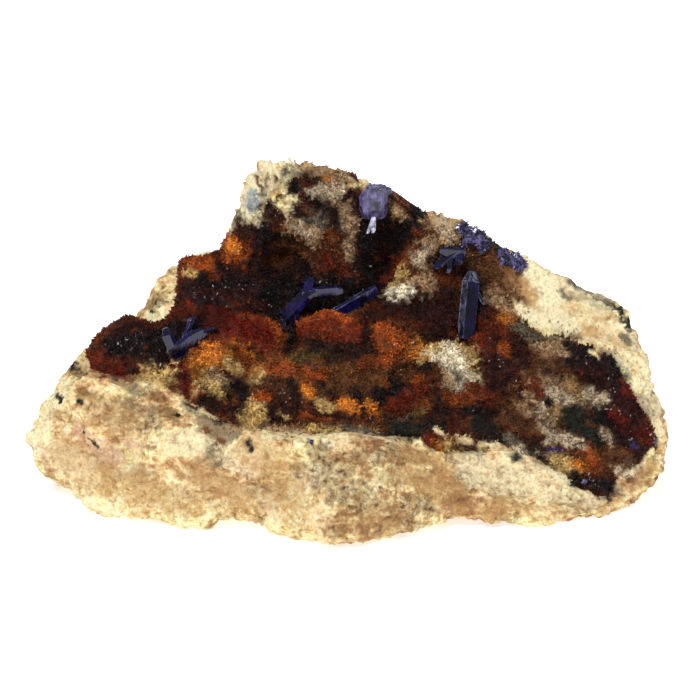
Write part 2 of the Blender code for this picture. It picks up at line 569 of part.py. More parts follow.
def blade(start, end, width, thickness, turn, grow):
    # a flattened six-sided blade with bevelled edges and a slanted wedge at its free end
    axis = (end - start).normalized()
    sight = placed(0, 0, -1, VIEW_TILT)
    across = axis.cross(sight).normalized()
    across.rotate(Matrix.Rotation(math.radians(turn), 3, axis))
    out = across.cross(axis)
    length = (end - start).length + grow
    wedge = min(0.6 * width, 0.35 * length)
    half_width = width / 2 + grow
    half_thickness = thickness / 2 + grow
    stations = ((-grow, 0.8, 0.8, 0.0), (0.25 * length, 1.0, 1.0, 0.0),
                (length - wedge, 1.0, 1.0, 0.0), (length, 0.55, 0.35, 0.18))
    solid = bmesh.new()
    rings = []
    for distance, wide, thick, lean in stations:
        ring = []
        for u, v in ((-1, 0), (-0.72, 1), (0.72, 1), (1, 0), (0.72, -1), (-0.72, -1)):
            place = (start + axis * distance + across * half_width * (u * wide + lean)
                     + out * half_thickness * v * thick)
            ring.append(solid.verts.new(place))
        rings.append(ring)
    for low, high in zip(rings, rings[1:]):
        for index in range(6):
            after = (index + 1) % 6
            solid.faces.new((low[index], low[after], high[after], high[index]))
    solid.faces.new(list(reversed(rings[0])))
    solid.faces.new(rings[-1])
    bmesh.ops.recalc_face_normals(solid, faces=solid.faces)
    return solid


def make_guide(item):
    item.hide_render = True
    item.display_type = 'WIRE'


def add_boolean(item, other, operation):
    modifier = item.modifiers.new(operation.lower(), 'BOOLEAN')
    modifier.operation = operation
    modifier.solver = 'EXACT'
    modifier.object = other


def build_azurite(surface, material, parent):
    # every azurite object, and one slightly larger cutter for each of its blades
    cutters = []
    for name, blades in AZURITE.items():
        first = None
        for index, (start, end) in enumerate(blade_ends(surface, blades)):
            width, thickness, turn = blades[index][2:]
            solid = blade(start, end, width, thickness, turn, 0.0)
            if first is None:
                first = new_object(name, solid, material, parent)
            else:
                piece = new_object(f"{name}_blade_{index + 1}", solid, material, parent)
                make_guide(piece)
                add_boolean(first, piece, 'UNION')
            wider = blade(start, end, width, thickness, turn, CLEARANCE)
            cutter = new_object(f"{name}_socket_{index + 1}", wider, material, parent)
            make_guide(cutter)
            cutters.append(cutter)
    return cutters


def main():
    clear_scene()
    chance = random.Random(SEED)
    materials = {name: make_material(name) for name in COLOURS}
    specimen = bpy.data.objects.new("specimen", None)
    bpy.context.scene.collection.objects.link(specimen)

    rock, faces, kinds = build_rock()
    rock.verts.ensure_lookup_table()
    surface = BVHTree.FromBMesh(rock)
    calm = []
    for blades in AZURITE.values():
        for (start, end), shape in zip(blade_ends(surface, blades), blades):
            calm.append((start, end, shape[2]))

    patch = []
    for face in faces:
        middle = sum((rock.verts[index].co for index in face), Vector()) / 3
        rim_level = seen(on_line(RIM, middle.x), NET_TILT)[1]
        behind_rim = seen(middle, NET_TILT)[1] > rim_level + RIM_WIDTH
        if behind_rim and inside(*seen(middle, VIEW_TILT)[:2], QUARTZ_EDGE):
            patch.append(face)
    shell = crust(rock, tidy_patch(patch), kinds, calm, chance)
    quartz = new_object("quartz_crust", shell, materials["quartz"], specimen)

    low = Vector([min(vert.co[axis] for vert in rock.verts) for axis in range(3)])
    high = Vector([max(vert.co[axis] for vert in rock.verts) for axis in range(3)])
    specimen.location = (-(low.x + high.x) / 2 * MM, -(low.y + high.y) / 2 * MM, 0.0)

    block = new_object("matrix_rock", rock, materials["matrix"], specimen)
    for cutter in build_azurite(surface, materials["azurite"], specimen):
        for item in (block, quartz):
            add_boolean(item, cutter, 'DIFFERENCE')


main()
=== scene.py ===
# Azurite with quartz: the finish of the broken rock, the drusy quartz crust and the azurite
# crystals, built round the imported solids. Metres, +Z up, the vug faces -Y.

import json
import math

import bmesh
import bpy
import numpy as np
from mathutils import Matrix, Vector, noise
from mathutils.bvhtree import BVHTree

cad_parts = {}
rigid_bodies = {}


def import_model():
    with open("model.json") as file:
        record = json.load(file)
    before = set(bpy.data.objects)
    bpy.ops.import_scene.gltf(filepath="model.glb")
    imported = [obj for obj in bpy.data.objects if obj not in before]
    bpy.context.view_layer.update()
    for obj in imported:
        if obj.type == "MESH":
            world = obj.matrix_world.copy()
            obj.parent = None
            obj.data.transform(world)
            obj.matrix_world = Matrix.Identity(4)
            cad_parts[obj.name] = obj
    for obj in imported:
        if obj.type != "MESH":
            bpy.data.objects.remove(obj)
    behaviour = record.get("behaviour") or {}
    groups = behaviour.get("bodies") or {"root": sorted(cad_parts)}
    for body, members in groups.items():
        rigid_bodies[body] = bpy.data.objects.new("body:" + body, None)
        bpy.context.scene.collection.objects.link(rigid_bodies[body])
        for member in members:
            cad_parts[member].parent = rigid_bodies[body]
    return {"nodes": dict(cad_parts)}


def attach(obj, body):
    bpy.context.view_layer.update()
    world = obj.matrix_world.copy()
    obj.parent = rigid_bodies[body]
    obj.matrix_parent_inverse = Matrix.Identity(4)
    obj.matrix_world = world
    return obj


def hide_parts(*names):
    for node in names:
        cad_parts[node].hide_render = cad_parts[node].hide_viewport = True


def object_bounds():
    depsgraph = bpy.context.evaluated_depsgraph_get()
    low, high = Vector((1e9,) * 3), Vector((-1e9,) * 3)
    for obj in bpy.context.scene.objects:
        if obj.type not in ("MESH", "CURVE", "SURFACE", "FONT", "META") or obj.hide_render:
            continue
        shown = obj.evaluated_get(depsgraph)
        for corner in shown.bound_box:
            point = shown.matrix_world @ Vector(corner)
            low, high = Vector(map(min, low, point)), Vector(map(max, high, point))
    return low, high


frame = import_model()
cadLow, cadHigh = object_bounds()
nodes = frame["nodes"]
mm = 0.001
print("frame loaded", len(nodes), "nodes")


# The photograph's view

view = {
    "tilt": 20.0,                # degrees that the camera looks down
    "distance": 500 * mm,
    "fieldWidth": 98 * mm,       # width of the picture at the aim point
    "pictureSize": 700,          # pixels along each side
    "fromLeftTip": 46.1 * mm,    # aim point, to the right of the block's left tip
    "behindFront": 23.0 * mm,    # behind the foremost point of its foot
    "aboveFloor": 20.75 * mm,
    "sensor": 36.0}

tilt = math.radians(view["tilt"])
aimPoint = Vector((cadLow.x + view["fromLeftTip"], cadLow.y + view["behindFront"], view["aboveFloor"]))
sightWay = Vector((0, math.cos(tilt), -math.sin(tilt)))
upWay = Vector((0, math.sin(tilt), math.cos(tilt)))
eyePoint = aimPoint - sightWay * view["distance"]


def makeCamera():
    lens = bpy.data.cameras.new("photoCamera")
    lens.sensor_width = view["sensor"]
    lens.lens = view["sensor"] * view["distance"] / view["fieldWidth"]
    lens.clip_start = 0.01
    camera = bpy.data.objects.new("photoCamera", lens)
    camera.location = eyePoint
    camera.rotation_euler = sightWay.to_track_quat("-Z", "Y").to_euler()
    bpy.context.scene.collection.objects.link(camera)
    bpy.context.scene.camera = camera


makeCamera()


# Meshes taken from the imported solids

def mergedCopy(name):
    # a node's loose triangles as one joined mesh
    copy = bmesh.new()
    copy.from_mesh(nodes[name].data)
    bmesh.ops.remove_doubles(copy, verts=copy.verts, dist=0.002 * mm)
    bmesh.ops.dissolve_degenerate(copy, edges=copy.edges, dist=0.002 * mm)
    copy.normal_update()
    return copy


def newPiece(name, shape, material, smooth):
    mesh = bpy.data.meshes.new(name)
    shape.to_mesh(mesh)
    shape.free()
    mesh.validate()
    mesh.materials.append(material)
    mesh.polygons.foreach_set("use_smooth", [smooth] * len(mesh.polygons))
    piece = bpy.data.objects.new(name, mesh)
    bpy.context.scene.collection.objects.link(piece)
    return piece


rockSolid = mergedCopy("matrix_rock")
crustSolid = mergedCopy("quartz_crust")
rockTree = BVHTree.FromBMesh(rockSolid)
crustTree = BVHTree.FromBMesh(crustSolid)


def pictureHit(across, down):
    # the point of the rock or its crust that shows at a pixel of the photograph, or just inside
    # the outline where the pixel falls beside the block
    pixel = view["fieldWidth"] / view["pictureSize"]
    middle = view["pictureSize"] / 2
    for step in range(40):
        share = 1 - step * 0.01
        right = (across - middle) * pixel * share
        up = (middle - down) * pixel * share
        way = (aimPoint + Vector((right, 0, 0)) + upWay * up - eyePoint).normalized()
        hits = [tree.ray_cast(eyePoint, way) for tree in (rockTree, crustTree)]
        hits = [hit for hit in hits if hit[0] is not None]
        if hits:
            return min(hits, key=lambda hit: hit[3])[0]
    return aimPoint


# Colours, as they look on a screen

colours = {
    "cream": (0.95, 0.90, 0.74), "straw": (0.80, 0.66, 0.40), "paleTan": (0.68, 0.55, 0.40),
    "tan": (0.74, 0.58, 0.37), "brown": (0.42, 0.26, 0.14), "darkBrown": (0.17, 0.09, 0.055),
    "amber": (0.80, 0.49, 0.18), "orange": (0.60, 0.29, 0.11), "rust": (0.42, 0.15, 0.06),
    "red": (0.37, 0.08, 0.03), "maroon": (0.17, 0.06, 0.05), "black": (0.07, 0.045, 0.05),
    "bone": (0.79, 0.71, 0.59), "greenBlack": (0.13, 0.135, 0.11), "grey": (0.46, 0.42, 0.34),
    "greyBlue": (0.58, 0.62, 0.64), "white": (0.94, 0.89, 0.77), "olive": (0.44, 0.35, 0.17),
    "pink": (0.78, 0.60, 0.50), "violet": (0.30, 0.26, 0.50)}


def linear(colour):
    return [value / 12.92 if value <= 0.04045 else ((value + 0.055) / 1.055) ** 2.4 for value in colour]


# Stains, each a streak between two pixels of the photograph, and its half width in mm. They lie
# on the surface that those pixels show, and spread round it in every direction.

druseStains = [
    ("brown", 262, 372, 405, 362, 5.0), ("darkBrown", 262, 408, 345, 418, 2.2),
    ("darkBrown", 330, 356, 372, 352, 1.6), ("brown", 300, 395, 345, 385, 1.8),
    ("orange", 268, 366, 284, 366, 1.4), ("orange", 305, 372, 318, 376, 1.3),
    ("amber", 303, 390, 310, 392, 1.1), ("olive", 292, 356, 322, 352, 1.0),
    ("amber", 342, 404, 352, 409, 1.3), ("amber", 366, 402, 376, 408, 1.2),
    ("straw", 320, 402, 330, 406, 0.9), ("straw", 254, 378, 260, 372, 0.9),
    ("brown", 340, 372, 380, 385, 1.4), ("orange", 366, 362, 395, 358, 1.2),
    ("darkBrown", 292, 382, 300, 404, 0.7), ("darkBrown", 322, 384, 332, 396, 0.7),
    ("darkBrown", 352, 388, 360, 396, 0.8), ("maroon", 395, 298, 452, 318, 3.0),
    ("maroon", 440, 332, 470, 342, 1.8), ("rust", 306, 326, 356, 330, 2.9),
    ("orange", 308, 318, 350, 320, 1.6), ("darkBrown", 312, 345, 366, 348, 1.0),
    ("brown", 288, 250, 342, 266, 3.2), ("rust", 326, 262, 345, 274, 1.8),
    ("maroon", 296, 262, 306, 280, 1.6), ("rust", 352, 278, 358, 296, 1.5),
    ("black", 262, 236, 282, 290, 2.6), ("black", 284, 284, 346, 296, 2.6),
    ("black", 274, 300, 292, 345, 1.6), ("black", 344, 300, 372, 284, 1.8),
    ("black", 300, 304, 330, 305, 1.0), ("maroon", 243, 222, 248, 258, 1.9),
    ("rust", 222, 240, 238, 252, 2.0), ("orange", 228, 244, 234, 250, 1.0),
    ("rust", 184, 266, 214, 272, 2.2), ("orange", 190, 262, 210, 264, 1.8),
    ("maroon", 222, 268, 252, 276, 1.6), ("black", 188, 290, 214, 302, 2.6),
    ("black", 206, 286, 272, 304, 2.6), ("maroon", 225, 314, 262, 310, 1.4),
    ("rust", 206, 336, 262, 338, 2.8), ("orange", 236, 318, 258, 318, 0.8),
    ("orange", 266, 322, 280, 334, 1.3), ("black", 168, 322, 214, 326, 2.0),
    ("rust", 144, 322, 186, 308, 1.3), ("black", 106, 348, 166, 342, 2.8),
    ("maroon", 112, 330, 140, 322, 1.4), ("rust", 88, 346, 98, 356, 1.3),
    ("rust", 100, 366, 136, 376, 1.6), ("red", 120, 374, 146, 372, 1.2),
    ("amber", 200, 360, 242, 358, 2.4), ("amber", 198, 372, 206, 380, 1.2),
    ("orange", 184, 386, 204, 396, 1.3), ("red", 176, 362, 184, 388, 1.3),
    ("straw", 146, 373, 168, 378, 1.6), ("straw", 206, 380, 232, 392, 1.7),
    ("paleTan", 214, 374, 230, 384, 1.0), ("orange", 240, 352, 248, 362, 1.1),
    ("black", 236, 388, 232, 420, 1.5), ("darkBrown", 206, 400, 228, 408, 1.2),
    ("straw", 256, 402, 254, 424, 1.7), ("orange", 258, 392, 268, 398, 1.0),
    ("orange", 376, 330, 404, 344, 2.2), ("amber", 420, 346, 430, 352, 1.2),
    ("black", 382, 396, 430, 366, 1.8), ("rust", 396, 406, 428, 386, 1.1),
    ("orange", 414, 382, 422, 376, 0.6), ("black", 368, 212, 372, 280, 2.8),
    ("paleTan", 492, 270, 504, 276, 1.2), ("paleTan", 498, 286, 518, 308, 1.4),
    ("grey", 508, 280, 516, 290, 1.0), ("paleTan", 514, 316, 540, 330, 1.3),
    ("grey", 548, 334, 570, 344, 1.3), ("brown", 560, 326, 574, 334, 0.8),
    ("darkBrown", 573, 331, 581, 340, 0.5), ("darkBrown", 458, 228, 480, 244, 1.3),
    ("amber", 465, 445, 478, 450, 0.8), ("brown", 470, 451, 480, 454, 0.5),
    ("grey", 496, 434, 522, 440, 0.8), ("greenBlack", 509, 452, 516, 456, 0.8),
    ("greenBlack", 531, 449, 539, 458, 0.8), ("straw", 484, 447, 500, 449, 0.6),
    ("straw", 556, 464, 572, 463, 0.8), ("grey", 396, 418, 408, 415, 0.5),
    ("olive", 412, 414, 424, 411, 0.5), ("grey", 404, 437, 416, 434, 0.4),
    ("grey", 612, 446, 630, 462, 1.2), ("straw", 282, 413, 290, 416, 0.6),
    ("orange", 302, 414, 330, 418, 0.7), ("paleTan", 268, 425, 300, 429, 0.9),
    ("paleTan", 330, 430, 388, 433, 0.8), ("tan", 352, 422, 388, 426, 0.6),
    ("black", 392, 236, 420, 210, 2.3), ("black", 392, 258, 378, 288, 2.0),
    ("maroon", 348, 186, 356, 230, 1.6), ("grey", 306, 216, 320, 224, 2.0),
    ("brown", 300, 208, 318, 214, 0.9), ("grey", 324, 210, 344, 218, 1.6),
    ("black", 328, 210, 332, 214, 0.8), ("paleTan", 350, 214, 352, 256, 1.0),
    ("paleTan", 290, 230, 312, 238, 1.6), ("paleTan", 334, 196, 344, 206, 1.1),
    ("maroon", 302, 170, 322, 178, 1.3), ("red", 308, 184, 309, 196, 0.9),
    ("black", 310, 200, 319, 206, 0.9), ("black", 286, 172, 291, 188, 1.1),
    ("maroon", 269, 192, 272, 212, 0.9), ("darkBrown", 303, 171, 322, 179, 1.0),
    ("darkBrown", 331, 214, 336, 222, 1.1), ("orange", 226, 240, 238, 256, 1.7),
    ("amber", 228, 240, 233, 245, 0.7), ("maroon", 270, 194, 270, 212, 0.8),
    ("amber", 328, 178, 334, 182, 0.8), ("maroon", 292, 206, 300, 214, 0.8),
    ("paleTan", 394, 203, 402, 214, 1.1), ("paleTan", 438, 218, 450, 240, 2.4),
    ("brown", 432, 230, 436, 244, 0.8), ("paleTan", 430, 244, 412, 262, 1.6),
    ("straw", 404, 270, 394, 286, 1.5), ("rust", 396, 262, 386, 276, 0.9),
    # the white streak from 394, 294 to 414, 288 is a painted highlight: the glints of the straw tuft there
    ("white", 394, 294, 414, 288, 1.2), ("paleTan", 414, 278, 430, 284, 1.2),
    ("brown", 406, 256, 414, 274, 0.6), ("black", 446, 256, 470, 262, 1.8),
    ("greenBlack", 466, 232, 496, 250, 1.6), ("brown", 470, 262, 496, 270, 1.6),
    ("black", 474, 278, 482, 328, 1.5), ("brown", 500, 272, 536, 300, 3.2),
    ("tan", 506, 272, 512, 300, 1.0), ("tan", 526, 288, 538, 306, 1.6),
    ("paleTan", 494, 296, 508, 308, 1.2), ("amber", 504, 318, 514, 322, 1.2),
    ("darkBrown", 520, 330, 556, 342, 2.0), ("grey", 514, 327, 552, 337, 0.8),
    ("rust", 484, 332, 512, 380, 3.4), ("maroon", 496, 372, 524, 400, 3.4),
    ("maroon", 520, 355, 552, 374, 2.0), ("rust", 470, 316, 500, 330, 1.3),
    ("orange", 503, 340, 506, 352, 0.8), ("brown", 504, 410, 536, 400, 1.8),
    ("black", 470, 410, 500, 414, 1.6), ("amber", 418, 350, 436, 351, 1.2),
    ("straw", 434, 349, 468, 352, 1.8), ("straw", 466, 360, 473, 380, 1.4),
    ("white", 448, 356, 466, 386, 2.1), ("grey", 454, 370, 457, 378, 0.7),
    ("brown", 436, 366, 440, 380, 0.7), ("rust", 476, 390, 494, 404, 1.2),
    ("orange", 452, 400, 476, 396, 0.9), ("paleTan", 545, 345, 572, 356, 1.6),
    ("greenBlack", 556, 352, 566, 362, 1.0), ("brown", 548, 388, 600, 448, 4.2),
    ("paleTan", 550, 384, 590, 396, 1.6), ("paleTan", 538, 400, 562, 440, 2.3),
    ("tan", 556, 404, 566, 420, 1.3), ("rust", 536, 384, 544, 400, 0.8),
    ("paleTan", 588, 392, 606, 402, 1.4), ("paleTan", 562, 440, 584, 446, 1.2),
    ("grey", 548, 452, 558, 466, 1.1), ("paleTan", 512, 438, 546, 452, 0.9),
    ("brown", 500, 420, 530, 432, 1.4), ("rust", 560, 444, 566, 450, 0.6),
    ("grey", 549, 399, 551, 405, 0.8), ("black", 584, 358, 616, 374, 2.6),
    ("maroon", 600, 384, 640, 412, 3.2), ("maroon", 612, 424, 634, 450, 2.4),
    ("black", 604, 410, 600, 440, 1.6), ("brown", 614, 462, 632, 470, 1.8),
    ("red", 645, 400, 645, 436, 1.2), ("violet", 635, 444, 637, 446, 0.45),
    ("greenBlack", 570, 416, 592, 436, 2.0), ("greenBlack", 390, 424, 438, 432, 2.0),
    ("rust", 424, 442, 450, 436, 1.4), ("amber", 440, 442, 450, 440, 0.8),
    ("darkBrown", 462, 438, 474, 453, 1.2), ("greenBlack", 478, 422, 500, 432, 1.5),
    ("greenBlack", 534, 448, 540, 460, 1.2), ("darkBrown", 508, 448, 518, 458, 1.0),
    ("violet", 550, 446, 560, 449, 0.6), ("straw", 562, 458, 578, 467, 1.3),
    ("amber", 576, 460, 588, 468, 1.1), ("orange", 582, 450, 596, 462, 1.3),
    ("black", 574, 480, 584, 484, 1.2), ("black", 602, 482, 612, 490, 1.2),
    ("paleTan", 205, 422, 236, 434, 1.6), ("darkBrown", 214, 418, 222, 424, 0.8),
    ("brown", 262, 424, 384, 424, 1.0), ("paleTan", 266, 422, 300, 425, 0.9),
    ("straw", 308, 425, 340, 427, 0.8), ("grey", 346, 425, 378, 428, 0.9),
    ("straw", 448, 440, 456, 450, 0.8), ("red", 628, 388, 644, 402, 0.9),
    ("paleTan", 604, 430, 612, 442, 0.7), ("red", 612, 408, 624, 430, 0.9),
    ("brown", 498, 276, 518, 302, 1.3), ("maroon", 198, 293, 250, 296, 1.0),
    ("paleTan", 620, 472, 634, 470, 0.8), ("paleTan", 446, 372, 450, 384, 0.7),
    ("straw", 186, 268, 192, 272, 0.7), ("amber", 228, 246, 236, 250, 0.5),
    ("straw", 228, 362, 240, 368, 1.0), ("tan", 566, 382, 580, 392, 0.8),
    ("maroon", 364, 322, 366, 346, 0.9), ("bone", 552, 391, 568, 397, 0.9),
    ("bone", 542, 410, 554, 436, 1.2), ("bone", 566, 437, 580, 446, 0.8),
    ("bone", 590, 394, 603, 400, 0.8), ("bone", 602, 430, 610, 440, 0.6),
    ("paleTan", 556, 349, 566, 352, 0.6), ("darkBrown", 567, 342, 574, 347, 0.6),
    ("bone", 616, 467, 634, 473, 0.7), ("bone", 520, 440, 542, 449, 0.6),
    ("grey", 506, 432, 520, 437, 0.6), ("black", 549, 399, 551, 404, 0.6),
    ("bone", 440, 222, 448, 236, 1.0), ("bone", 424, 250, 416, 262, 0.8),
    ("bone", 292, 232, 306, 238, 0.8), ("bone", 316, 190, 330, 194, 0.7),
    ("red", 214, 318, 262, 330, 1.8)]

rockStains = [
    ("greyBlue", 252, 195, 253, 206, 1.1), ("grey", 262, 186, 264, 194, 0.5),
    ("grey", 572, 281, 616, 304, 0.9), ("greenBlack", 588, 286, 606, 296, 0.5),
    ("greenBlack", 616, 308, 629, 325, 1.0), ("grey", 563, 291, 570, 299, 0.7),
    ("grey", 622, 336, 630, 344, 0.7), ("greenBlack", 72, 366, 84, 374, 0.8),
    ("black", 57, 395, 62, 400, 0.5), ("black", 79, 401, 85, 404, 0.4),
    ("greenBlack", 154, 298, 158, 303, 0.35), ("greenBlack", 163, 288, 166, 286, 0.25),
    ("greenBlack", 174, 283, 181, 287, 0.45), ("black", 150, 311, 158, 313, 0.3),
    ("black", 170, 292, 172, 295, 0.2), ("black", 160, 306, 163, 309, 0.25),
    ("black", 176, 291, 178, 294, 0.2), ("greenBlack", 178, 299, 182, 301, 0.3),
    ("black", 168, 302, 169, 305, 0.2), ("black", 173, 413, 179, 416, 0.35),
    ("greenBlack", 211, 441, 215, 450, 0.8), ("grey", 212, 452, 217, 462, 0.9),
    ("greenBlack", 248, 443, 251, 448, 0.6), ("black", 84, 432, 85, 433, 0.25),
    ("black", 89, 438, 90, 439, 0.3), ("black", 95, 442, 96, 443, 0.25),
    ("black", 88, 446, 89, 446, 0.2), ("maroon", 92, 440, 97, 446, 0.4),
    ("black", 99, 449, 100, 450, 0.2), ("black", 82, 438, 83, 438, 0.2),
    ("black", 118, 456, 119, 457, 0.2), ("black", 578, 480, 583, 484, 0.9),
    ("black", 603, 480, 611, 488, 1.0), ("black", 605, 496, 609, 500, 0.6),
    ("greenBlack", 512, 452, 516, 458, 0.8), ("grey", 300, 420, 380, 428, 0.6),
    ("olive", 330, 430, 372, 434, 0.6), ("brown", 256, 172, 262, 214, 0.35),
    ("brown", 276, 176, 279, 212, 0.35), ("brown", 266, 168, 268, 188, 0.3),
    ("maroon", 188, 404, 196, 410, 0.4), ("brown", 206, 430, 222, 442, 0.6)]

rockTints = [
    ("cream", 470, 468, 600, 488, 3.2), ("cream", 600, 490, 640, 462, 1.0),
    ("cream", 650, 360, 656, 430, 2.2), ("cream", 556, 286, 622, 346, 3.6),
    ("cream", 413, 438, 450, 470, 0.7), ("cream", 450, 470, 484, 502, 0.8),
    ("cream", 30, 440, 80, 470, 2.4), ("cream", 180, 440, 250, 462, 2.4),
    ("cream", 260, 440, 400, 444, 1.2), ("pink", 80, 430, 112, 456, 1.5),
    ("tan", 96, 420, 130, 430, 1.6), ("brown", 110, 405, 126, 416, 1.2),
    ("pink", 122, 430, 138, 446, 1.4), ("tan", 110, 482, 190, 505, 2.4),
    ("brown", 150, 440, 156, 448, 1.0), ("tan", 60, 450, 90, 480, 2.0),
    ("orange", 46, 462, 52, 470, 1.0), ("brown", 318, 455, 345, 472, 2.0),
    ("brown", 345, 462, 396, 455, 1.8), ("tan", 404, 450, 440, 468, 1.7),
    ("tan", 250, 450, 300, 480, 2.4), ("brown", 300, 470, 330, 490, 1.6),
    ("brown", 340, 490, 400, 520, 3.0), ("brown", 400, 508, 455, 500, 2.0),
    ("tan", 412, 478, 452, 488, 1.8), ("tan", 290, 500, 380, 532, 3.2),
    ("brown", 330, 530, 380, 530, 1.2), ("tan", 440, 502, 500, 512, 1.2),
    ("brown", 480, 494, 520, 508, 0.5), ("brown", 500, 512, 545, 520, 0.6),
    ("tan", 500, 502, 540, 515, 1.2), ("tan", 606, 508, 655, 462, 0.9),
    ("brown", 616, 500, 650, 470, 0.45), ("tan", 570, 310, 584, 330, 1.4),
    ("brown", 570, 330, 588, 344, 0.7), ("brown", 262, 196, 266, 214, 0.6),
    ("olive", 154, 302, 182, 286, 1.4), ("olive", 163, 408, 176, 420, 1.1),
    ("grey", 116, 380, 142, 392, 1.0), ("brown", 150, 392, 164, 402, 1.0),
    ("tan", 552, 304, 600, 322, 1.3), ("grey", 574, 296, 618, 318, 0.8),
    ("tan", 588, 330, 622, 346, 1.1), ("brown", 540, 330, 560, 338, 0.7),
    ("tan", 90, 404, 140, 424, 2.0), ("brown", 96, 412, 122, 424, 1.4),
    ("grey", 128, 404, 150, 414, 1.2), ("brown", 136, 418, 152, 428, 1.0),
    ("olive", 80, 392, 96, 398, 1.0), ("grey", 186, 406, 204, 418, 1.0),
    ("grey", 206, 426, 232, 438, 1.2), ("tan", 215, 255, 222, 262, 1.2),
    ("brown", 140, 420, 160, 430, 1.4), ("tan", 200, 470, 240, 500, 2.0)]

# Folds of the rock, each a line between two pixels, with its half width and rise in mm
rockFolds = [
    (410, 437, 446, 468, 1.2, 0.9), (446, 468, 484, 502, 1.3, 0.9), (484, 502, 548, 522, 1.2, 0.6),
    (440, 452, 480, 478, 1.4, -0.6), (486, 456, 560, 470, 2.6, 0.5), (500, 484, 590, 502, 1.4, -0.5),
    (600, 500, 652, 462, 0.9, -0.5), (604, 494, 648, 452, 0.9, 0.4), (260, 452, 330, 462, 2.6, 0.5),
    (300, 470, 400, 478, 1.2, -0.5), (330, 500, 420, 500, 2.0, 0.6), (180, 470, 280, 500, 1.4, -0.4),
    (90, 420, 180, 440, 3.0, 0.6), (60, 450, 150, 478, 1.4, -0.5), (100, 500, 200, 512, 1.6, 0.4),
    (212, 436, 214, 460, 0.8, -0.8), (248, 442, 250, 448, 0.6, -0.8), (76, 366, 82, 372, 0.9, -0.6),
    (262, 160, 270, 200, 0.8, 0.6), (280, 168, 296, 222, 0.8, 0.6), (289, 172, 290, 186, 0.9, -1.0),
    (270, 194, 270, 210, 0.7, -0.8), (248, 165, 252, 215, 0.7, 0.4), (560, 300, 612, 330, 2.0, 0.4),
    (580, 282, 616, 304, 0.7, -0.5)]


# Where clear crystals gather and catch the light
glints = [
    (278, 376, 290, 400, 1.2), (584, 362, 612, 376, 1.6), (604, 390, 640, 440, 2.0),
    (466, 408, 476, 414, 0.8), (112, 342, 160, 338, 1.6), (206, 418, 240, 424, 1.0),
    (250, 380, 262, 400, 1.0), (300, 420, 330, 424, 0.8), (200, 290, 262, 292, 1.2),
    (250, 215, 262, 232, 1.0), (486, 340, 500, 360, 1.2), (394, 290, 416, 290, 0.9)]

# Where the crust is thin and the rock's cream colour shows through it
thinSpots = [
    ("cream", 246, 170, 256, 212, 2.0), ("cream", 268, 166, 276, 196, 1.7),
    ("cream", 284, 192, 298, 222, 1.5), ("cream", 278, 158, 296, 166, 1.2),
    ("paleTan", 300, 163, 348, 178, 0.8), ("bone", 316, 190, 340, 193, 1.0),
    ("bone", 256, 214, 258, 227, 0.6), ("cream", 352, 186, 356, 188, 0.7),
    ("cream", 524, 262, 560, 296, 1.5), ("cream", 548, 300, 566, 326, 1.6),
    ("cream", 520, 312, 544, 322, 1.1), ("cream", 500, 446, 506, 454, 0.5),
    ("cream", 520, 452, 528, 458, 0.6), ("cream", 550, 470, 566, 478, 0.7),
    ("cream", 482, 440, 494, 444, 0.5), ("cream", 460, 436, 472, 439, 0.5),
    ("cream", 438, 430, 446, 433, 0.5), ("cream", 498, 443, 508, 446, 0.4),
    ("cream", 590, 352, 600, 358, 0.5)]


def speckle(points, size, seed):
    # an uneven value of about -1 to 1 at each point, for patches of about that size
    shift = Vector((seed * 7.13, seed * 3.71, seed * 5.37))
    return np.array([noise.fractal(Vector(p) / size + shift, 0.8, 2.1, 3) for p in points])


def stained(points, layers, wander):
    # stain colour at each point, its strength, and each colour's share of it
    shares = {}
    strength = np.zeros(len(points))
    for stains, most in layers:
        for name, x1, y1, x2, y2, reach in stains:
            amount = np.clip((1.3 - fromLine(points, x1, y1, x2, y2, reach) + 0.5 * wander) / 0.7, 0, 1)
            amount = amount * amount * (3 - 2 * amount) * most
            for other in shares:
                shares[other] *= 1 - amount
            shares[name] = shares.get(name, 0.0) + amount
            strength = np.maximum(strength, amount)
    total = sum(shares.values())[:, None]
    colour = sum(share[:, None] * np.array(linear(colours[name])) for name, share in shares.items())
    colour = np.where(total > 0.001, colour / np.maximum(total, 0.001), linear(colours["brown"]))
    return colour, strength, shares


def fromLine(points, x1, y1, x2, y2, reach):
    # distance of each point from the line between two pixels, as a share of its reach in mm
    start = np.array(pictureHit(x1, y1))
    run = np.array(pictureHit(x2, y2)) - start
    share = np.clip((points - start) @ run / max(run @ run, 1e-12), 0, 1)
    return np.linalg.norm(points - start - share[:, None] * run, axis=1) / (reach * mm)


def raisedBy(points, features):
    # how far round pads and folds push each point out, in mm
    rise = np.zeros(len(points))
    fall = np.zeros(len(points))
    for x1, y1, x2, y2, reach, height in features:
        dome = height * np.sqrt(np.clip(1 - (fromLine(points, x1, y1, x2, y2, reach) / 1.2) ** 2, 0, 1))
        rise = np.maximum(rise, dome)
        fall = np.minimum(fall, dome)
    return rise + fall


def clamped(value):
    return min(max(value, 0.0), 1.0)


def storeColour(mesh, name, colour, strength):
    layer = mesh.attributes.new(name, "FLOAT_COLOR", "POINT")
    layer.data.foreach_set("color", np.hstack([colour, strength[:, None]]).ravel())


def storeNumber(mesh, name, values):
    layer = mesh.attributes.new(name, "FLOAT", "POINT")
    layer.data.foreach_set("value", np.asarray(values, float))


def belongs(piece, node):
    # the piece rides with the block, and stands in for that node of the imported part
    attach(piece, "root")
    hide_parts(node)


def meshPoints(mesh):
    places = np.empty(len(mesh.vertices) * 3)
    mesh.vertices.foreach_get("co", places)
    return places.reshape(-1, 3)


# Small helpers for materials

def newMaterial(name):
    material = bpy.data.materials.new(name)
    material.use_nodes = True
    return material, material.node_tree, material.node_tree.nodes["Principled BSDF"]


